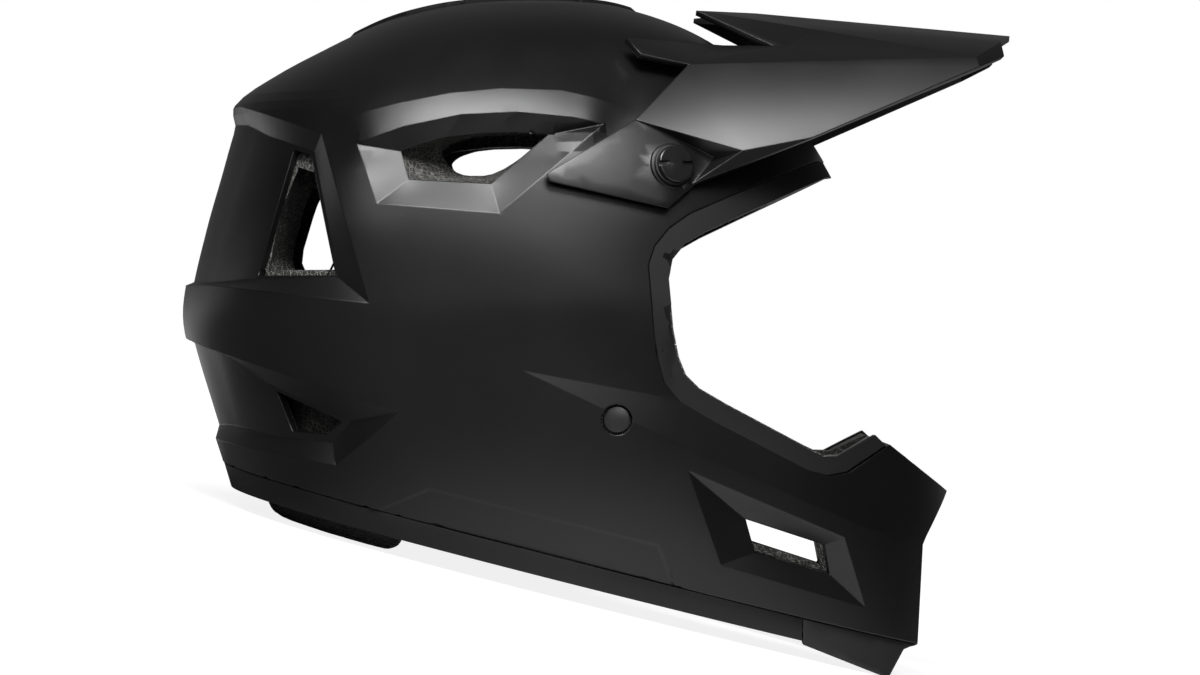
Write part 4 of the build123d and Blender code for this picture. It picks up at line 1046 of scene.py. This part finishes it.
class HELMET_OT_fasteners(HelmetOperator, bpy.types.Operator):
    """Build the visor's screws with washers and inserts, the strap's rivets and the pads' snaps"""

    bl_idname = "helmet.fasteners"
    bl_label = "Fasteners"

    def execute(self, context):
        satin = moulded("satin_screw", (0.010, 0.010, 0.0105), 0.2)
        plug = moulded("rivet_plug", (0.016, 0.016, 0.017), 0.3)
        rubber = moulded("washer_rubber", (0.014, 0.014, 0.014), 0.6)
        brass = metal("insert_brass", (0.70, 0.52, 0.26), 0.35)
        snap = moulded("snap_plastic", (0.05, 0.05, 0.05), 0.45)
        for hand in HANDS:
            dress(f"visor_screw_{hand}", f"visor_screw_{hand}", satin, 0.0003)
            dress(f"visor_washer_{hand}", f"visor_screw_{hand}", rubber, 0.0001)
            dress(f"visor_insert_{hand}", "helmet", brass, 0.0002)
            dress(f"strap_rivet_{hand}", "helmet", plug, 0.0004)
            for number in (1, 2, 3):
                dress(f"cheek_snap_{hand}_{number}", "helmet", snap, 0.0002)
        return {"FINISHED"}


class HELMET_OT_stage(HelmetOperator, bpy.types.Operator):
    """Set the floor, the lamps, the world and the camera"""

    bl_idname = "helmet.stage"
    bl_label = "Stage"

    def execute(self, context):
        set_camera(context.scene)
        set_floor(tuple(self.colours.backdrop))
        set_world(context.scene)
        for name, azimuth, elevation, distance, width, height, power in LAMPS:
            set_lamp(name, azimuth, elevation, distance, width, height, power)
        context.scene.view_settings.view_transform = "Standard"
        return {"FINISHED"}


class HELMET_PT_panel(bpy.types.Panel):
    """Sizes, colours and steps of the helmet"""

    bl_idname = "HELMET_PT_panel"
    bl_label = "Downhill Helmet"
    bl_space_type = "VIEW_3D"
    bl_region_type = "UI"
    bl_category = "Helmet"

    def draw(self, context):
        for group in (context.scene.helmet_sizes, context.scene.helmet_colours):
            column = self.layout.column()
            for key in type(group).__annotations__:
                column.prop(group, key)
        for step in STEPS:
            self.layout.operator(step.bl_idname)


def follow_skin(place):
    """Moves a point of the eyeport's trim with the skin beside it."""
    level = STANDING.inverted() @ place
    if level.z > SMOOTH_LEVEL * HEIGHT:
        return place
    normal, rate = form_slope(level)
    under = (1 - form_field(*level)) / rate if rate > 1e-3 else 1.0
    if -TRIM_REACH < under < TRIM_REACH:
        level = on_form(level, TRIM_SETBACK)
    level -= normal * cheek_dip(level.x, level.z)
    level.x = min(level.x, chin_front(level.z) - TRIM_SETBACK)
    moved = STANDING @ level
    return moved if (moved - place).length < 3 * TRIM_REACH else place


def under_skin(place):
    """Moves a point of the foam in, where a recess of the skin is deeper than the foam."""
    level = STANDING.inverted() @ place
    if level.z < FOAM_LEVEL * HEIGHT or level.z > SMOOTH_LEVEL * HEIGHT:
        return place
    out = relief(level)
    normal, rate = form_slope(level)
    if out >= 0 or rate < 1e-3:
        return place
    under = (1 - form_field(*level)) / rate
    if under > FOAM_GAP - out + FOAM_CELL:
        return place
    return STANDING @ (level - normal * max(0.0, FOAM_GAP - out - under))


def set_camera(scene):
    """The photograph's camera: level with the helmet's own frame, so that it rolls with the lean."""
    data = bpy.data.cameras.new("camera")
    data.lens, data.sensor_width = CAMERA_LENS, 36.0
    camera = bpy.data.objects.new("camera", data)
    scene.collection.objects.link(camera)
    middle = stand(CAMERA_SHARE)
    turn = STANDING.to_3x3() @ Matrix(((1, 0, 0), (0, 0, -1), (0, 1, 0)))
    camera.matrix_world = Matrix.Translation(middle + Vector((0, -CAMERA_DISTANCE, 0))) @ turn.to_4x4()
    scene.camera = camera


def set_floor(paper):
    """A pale floor, white to the camera but for the object's shadow. As the object sees it, its colour is
    painted light and shade: pale round the spot and on the far side, darker elsewhere on the near side.
    """
    bm = bmesh.new()
    bmesh.ops.create_grid(bm, x_segments=1, y_segments=1, size=FLOOR_REACH)
    floor = finish_mesh(bm, "floor")
    material = bpy.data.materials.new("floor_paper")
    material.use_nodes = True
    tree = material.node_tree
    tree.nodes.clear()
    place = added(tree, "TexCoord").outputs["Object"]
    spot, far = added(tree, "VectorMath", Vector=place), added(tree, "VectorMath", Vector=place)
    spot.operation, spot.inputs[1].default_value, far.operation = "DISTANCE", FLOOR_SPOT, "LENGTH"
    near = ranged(tree, spot.outputs["Value"], FLOOR_LIT, (0.0, 1.0))
    turn = ranged(tree, added(tree, "SeparateXYZ", Vector=place).outputs["Y"], FLOOR_TURN, (1.0, 0.0))
    # Painted light and shade: the colour the object sees is pale round the spot and on the far side, and
    # darker elsewhere on the near side
    painted_light_tint = mixed(tree, joined(tree, "MULTIPLY", near, turn), paper, tinted(paper, FLOOR_SHADE))
    glow = ranged(tree, far.outputs["Value"], (FLOOR_NEAR, FLOOR_FAR), (FLOOR_GLOW, 1.0))
    seen = (added(tree, "BsdfDiffuse", Color=(*[FLOOR_SEEN] * 3, 1)), added(tree, "Emission", Strength=glow))
    paint, both = added(tree, "BsdfDiffuse", Color=painted_light_tint), added(tree, "AddShader")
    for part, socket in zip(seen, both.inputs):
        tree.links.new(part.outputs[0], socket)
    split = added(tree, "MixShader", Fac=added(tree, "LightPath").outputs["Is Camera Ray"])
    for part, socket in zip((paint, both), split.inputs[1:]):
        tree.links.new(part.outputs[0], socket)
    added(tree, "OutputMaterial", Surface=split.outputs[0])
    floor.data.materials.append(material)


def set_world(scene):
    """A world that is white to the camera and dim to the object, but less so on the far side."""
    scene.world = bpy.data.worlds.new("studio")
    scene.world.use_nodes = True
    tree = scene.world.node_tree
    way = added(tree, "SeparateXYZ", Vector=added(tree, "TexCoord").outputs["Generated"])
    dim = ranged(tree, way.outputs["Y"], (0.0, 1.0), (WORLD_NEAR, WORLD_FAR))
    path = added(tree, "LightPath")
    seen = joined(tree, "MAXIMUM", path.outputs["Is Camera Ray"], path.outputs["Is Transmission Ray"])
    light = tree.nodes["Background"]
    light.inputs["Color"].default_value = (1, 1, 1, 1)
    tree.links.new(ranged(tree, seen, (0.0, 1.0), (dim, 1.0)), light.inputs["Strength"])


def set_lamp(name, azimuth, elevation, distance, width, height, power):
    """A soft lamp on the camera's side, aimed at the helmet's middle. Azimuth 0 is over the camera."""
    data = bpy.data.lights.new(name, "AREA")
    data.shape, data.size, data.size_y, data.energy = "RECTANGLE", width, height, power
    lamp = bpy.data.objects.new(name, data)
    bpy.context.scene.collection.objects.link(lamp)
    turn, rise = math.radians(azimuth), math.radians(elevation)
    away = Vector((math.sin(turn) * math.cos(rise), -math.cos(turn) * math.cos(rise), math.sin(rise)))
    lamp.location = stand(CAMERA_SHARE) + away * distance
    lamp.rotation_euler = away.to_track_quat("Z", "Y").to_euler()


STEPS = (
    HELMET_OT_shell, HELMET_OT_visor, HELMET_OT_trims, HELMET_OT_foam,
    HELMET_OT_pads, HELMET_OT_straps, HELMET_OT_fasteners, HELMET_OT_stage,
)
CLASSES = (HelmetSizes, HelmetColours, *STEPS, HELMET_PT_panel)


def register():
    for cls in CLASSES:
        bpy.utils.register_class(cls)
    bpy.types.Scene.helmet_sizes = PointerProperty(type=HelmetSizes)
    bpy.types.Scene.helmet_colours = PointerProperty(type=HelmetColours)


def unregister():
    del bpy.types.Scene.helmet_sizes
    del bpy.types.Scene.helmet_colours
    for cls in reversed(CLASSES):
        bpy.utils.unregister_class(cls)


def main():
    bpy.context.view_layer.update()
    register()
    for step in STEPS:
        group, action = step.bl_idname.split(".")
        getattr(getattr(bpy.ops, group), action)()


if __name__ == "__main__":
    main()
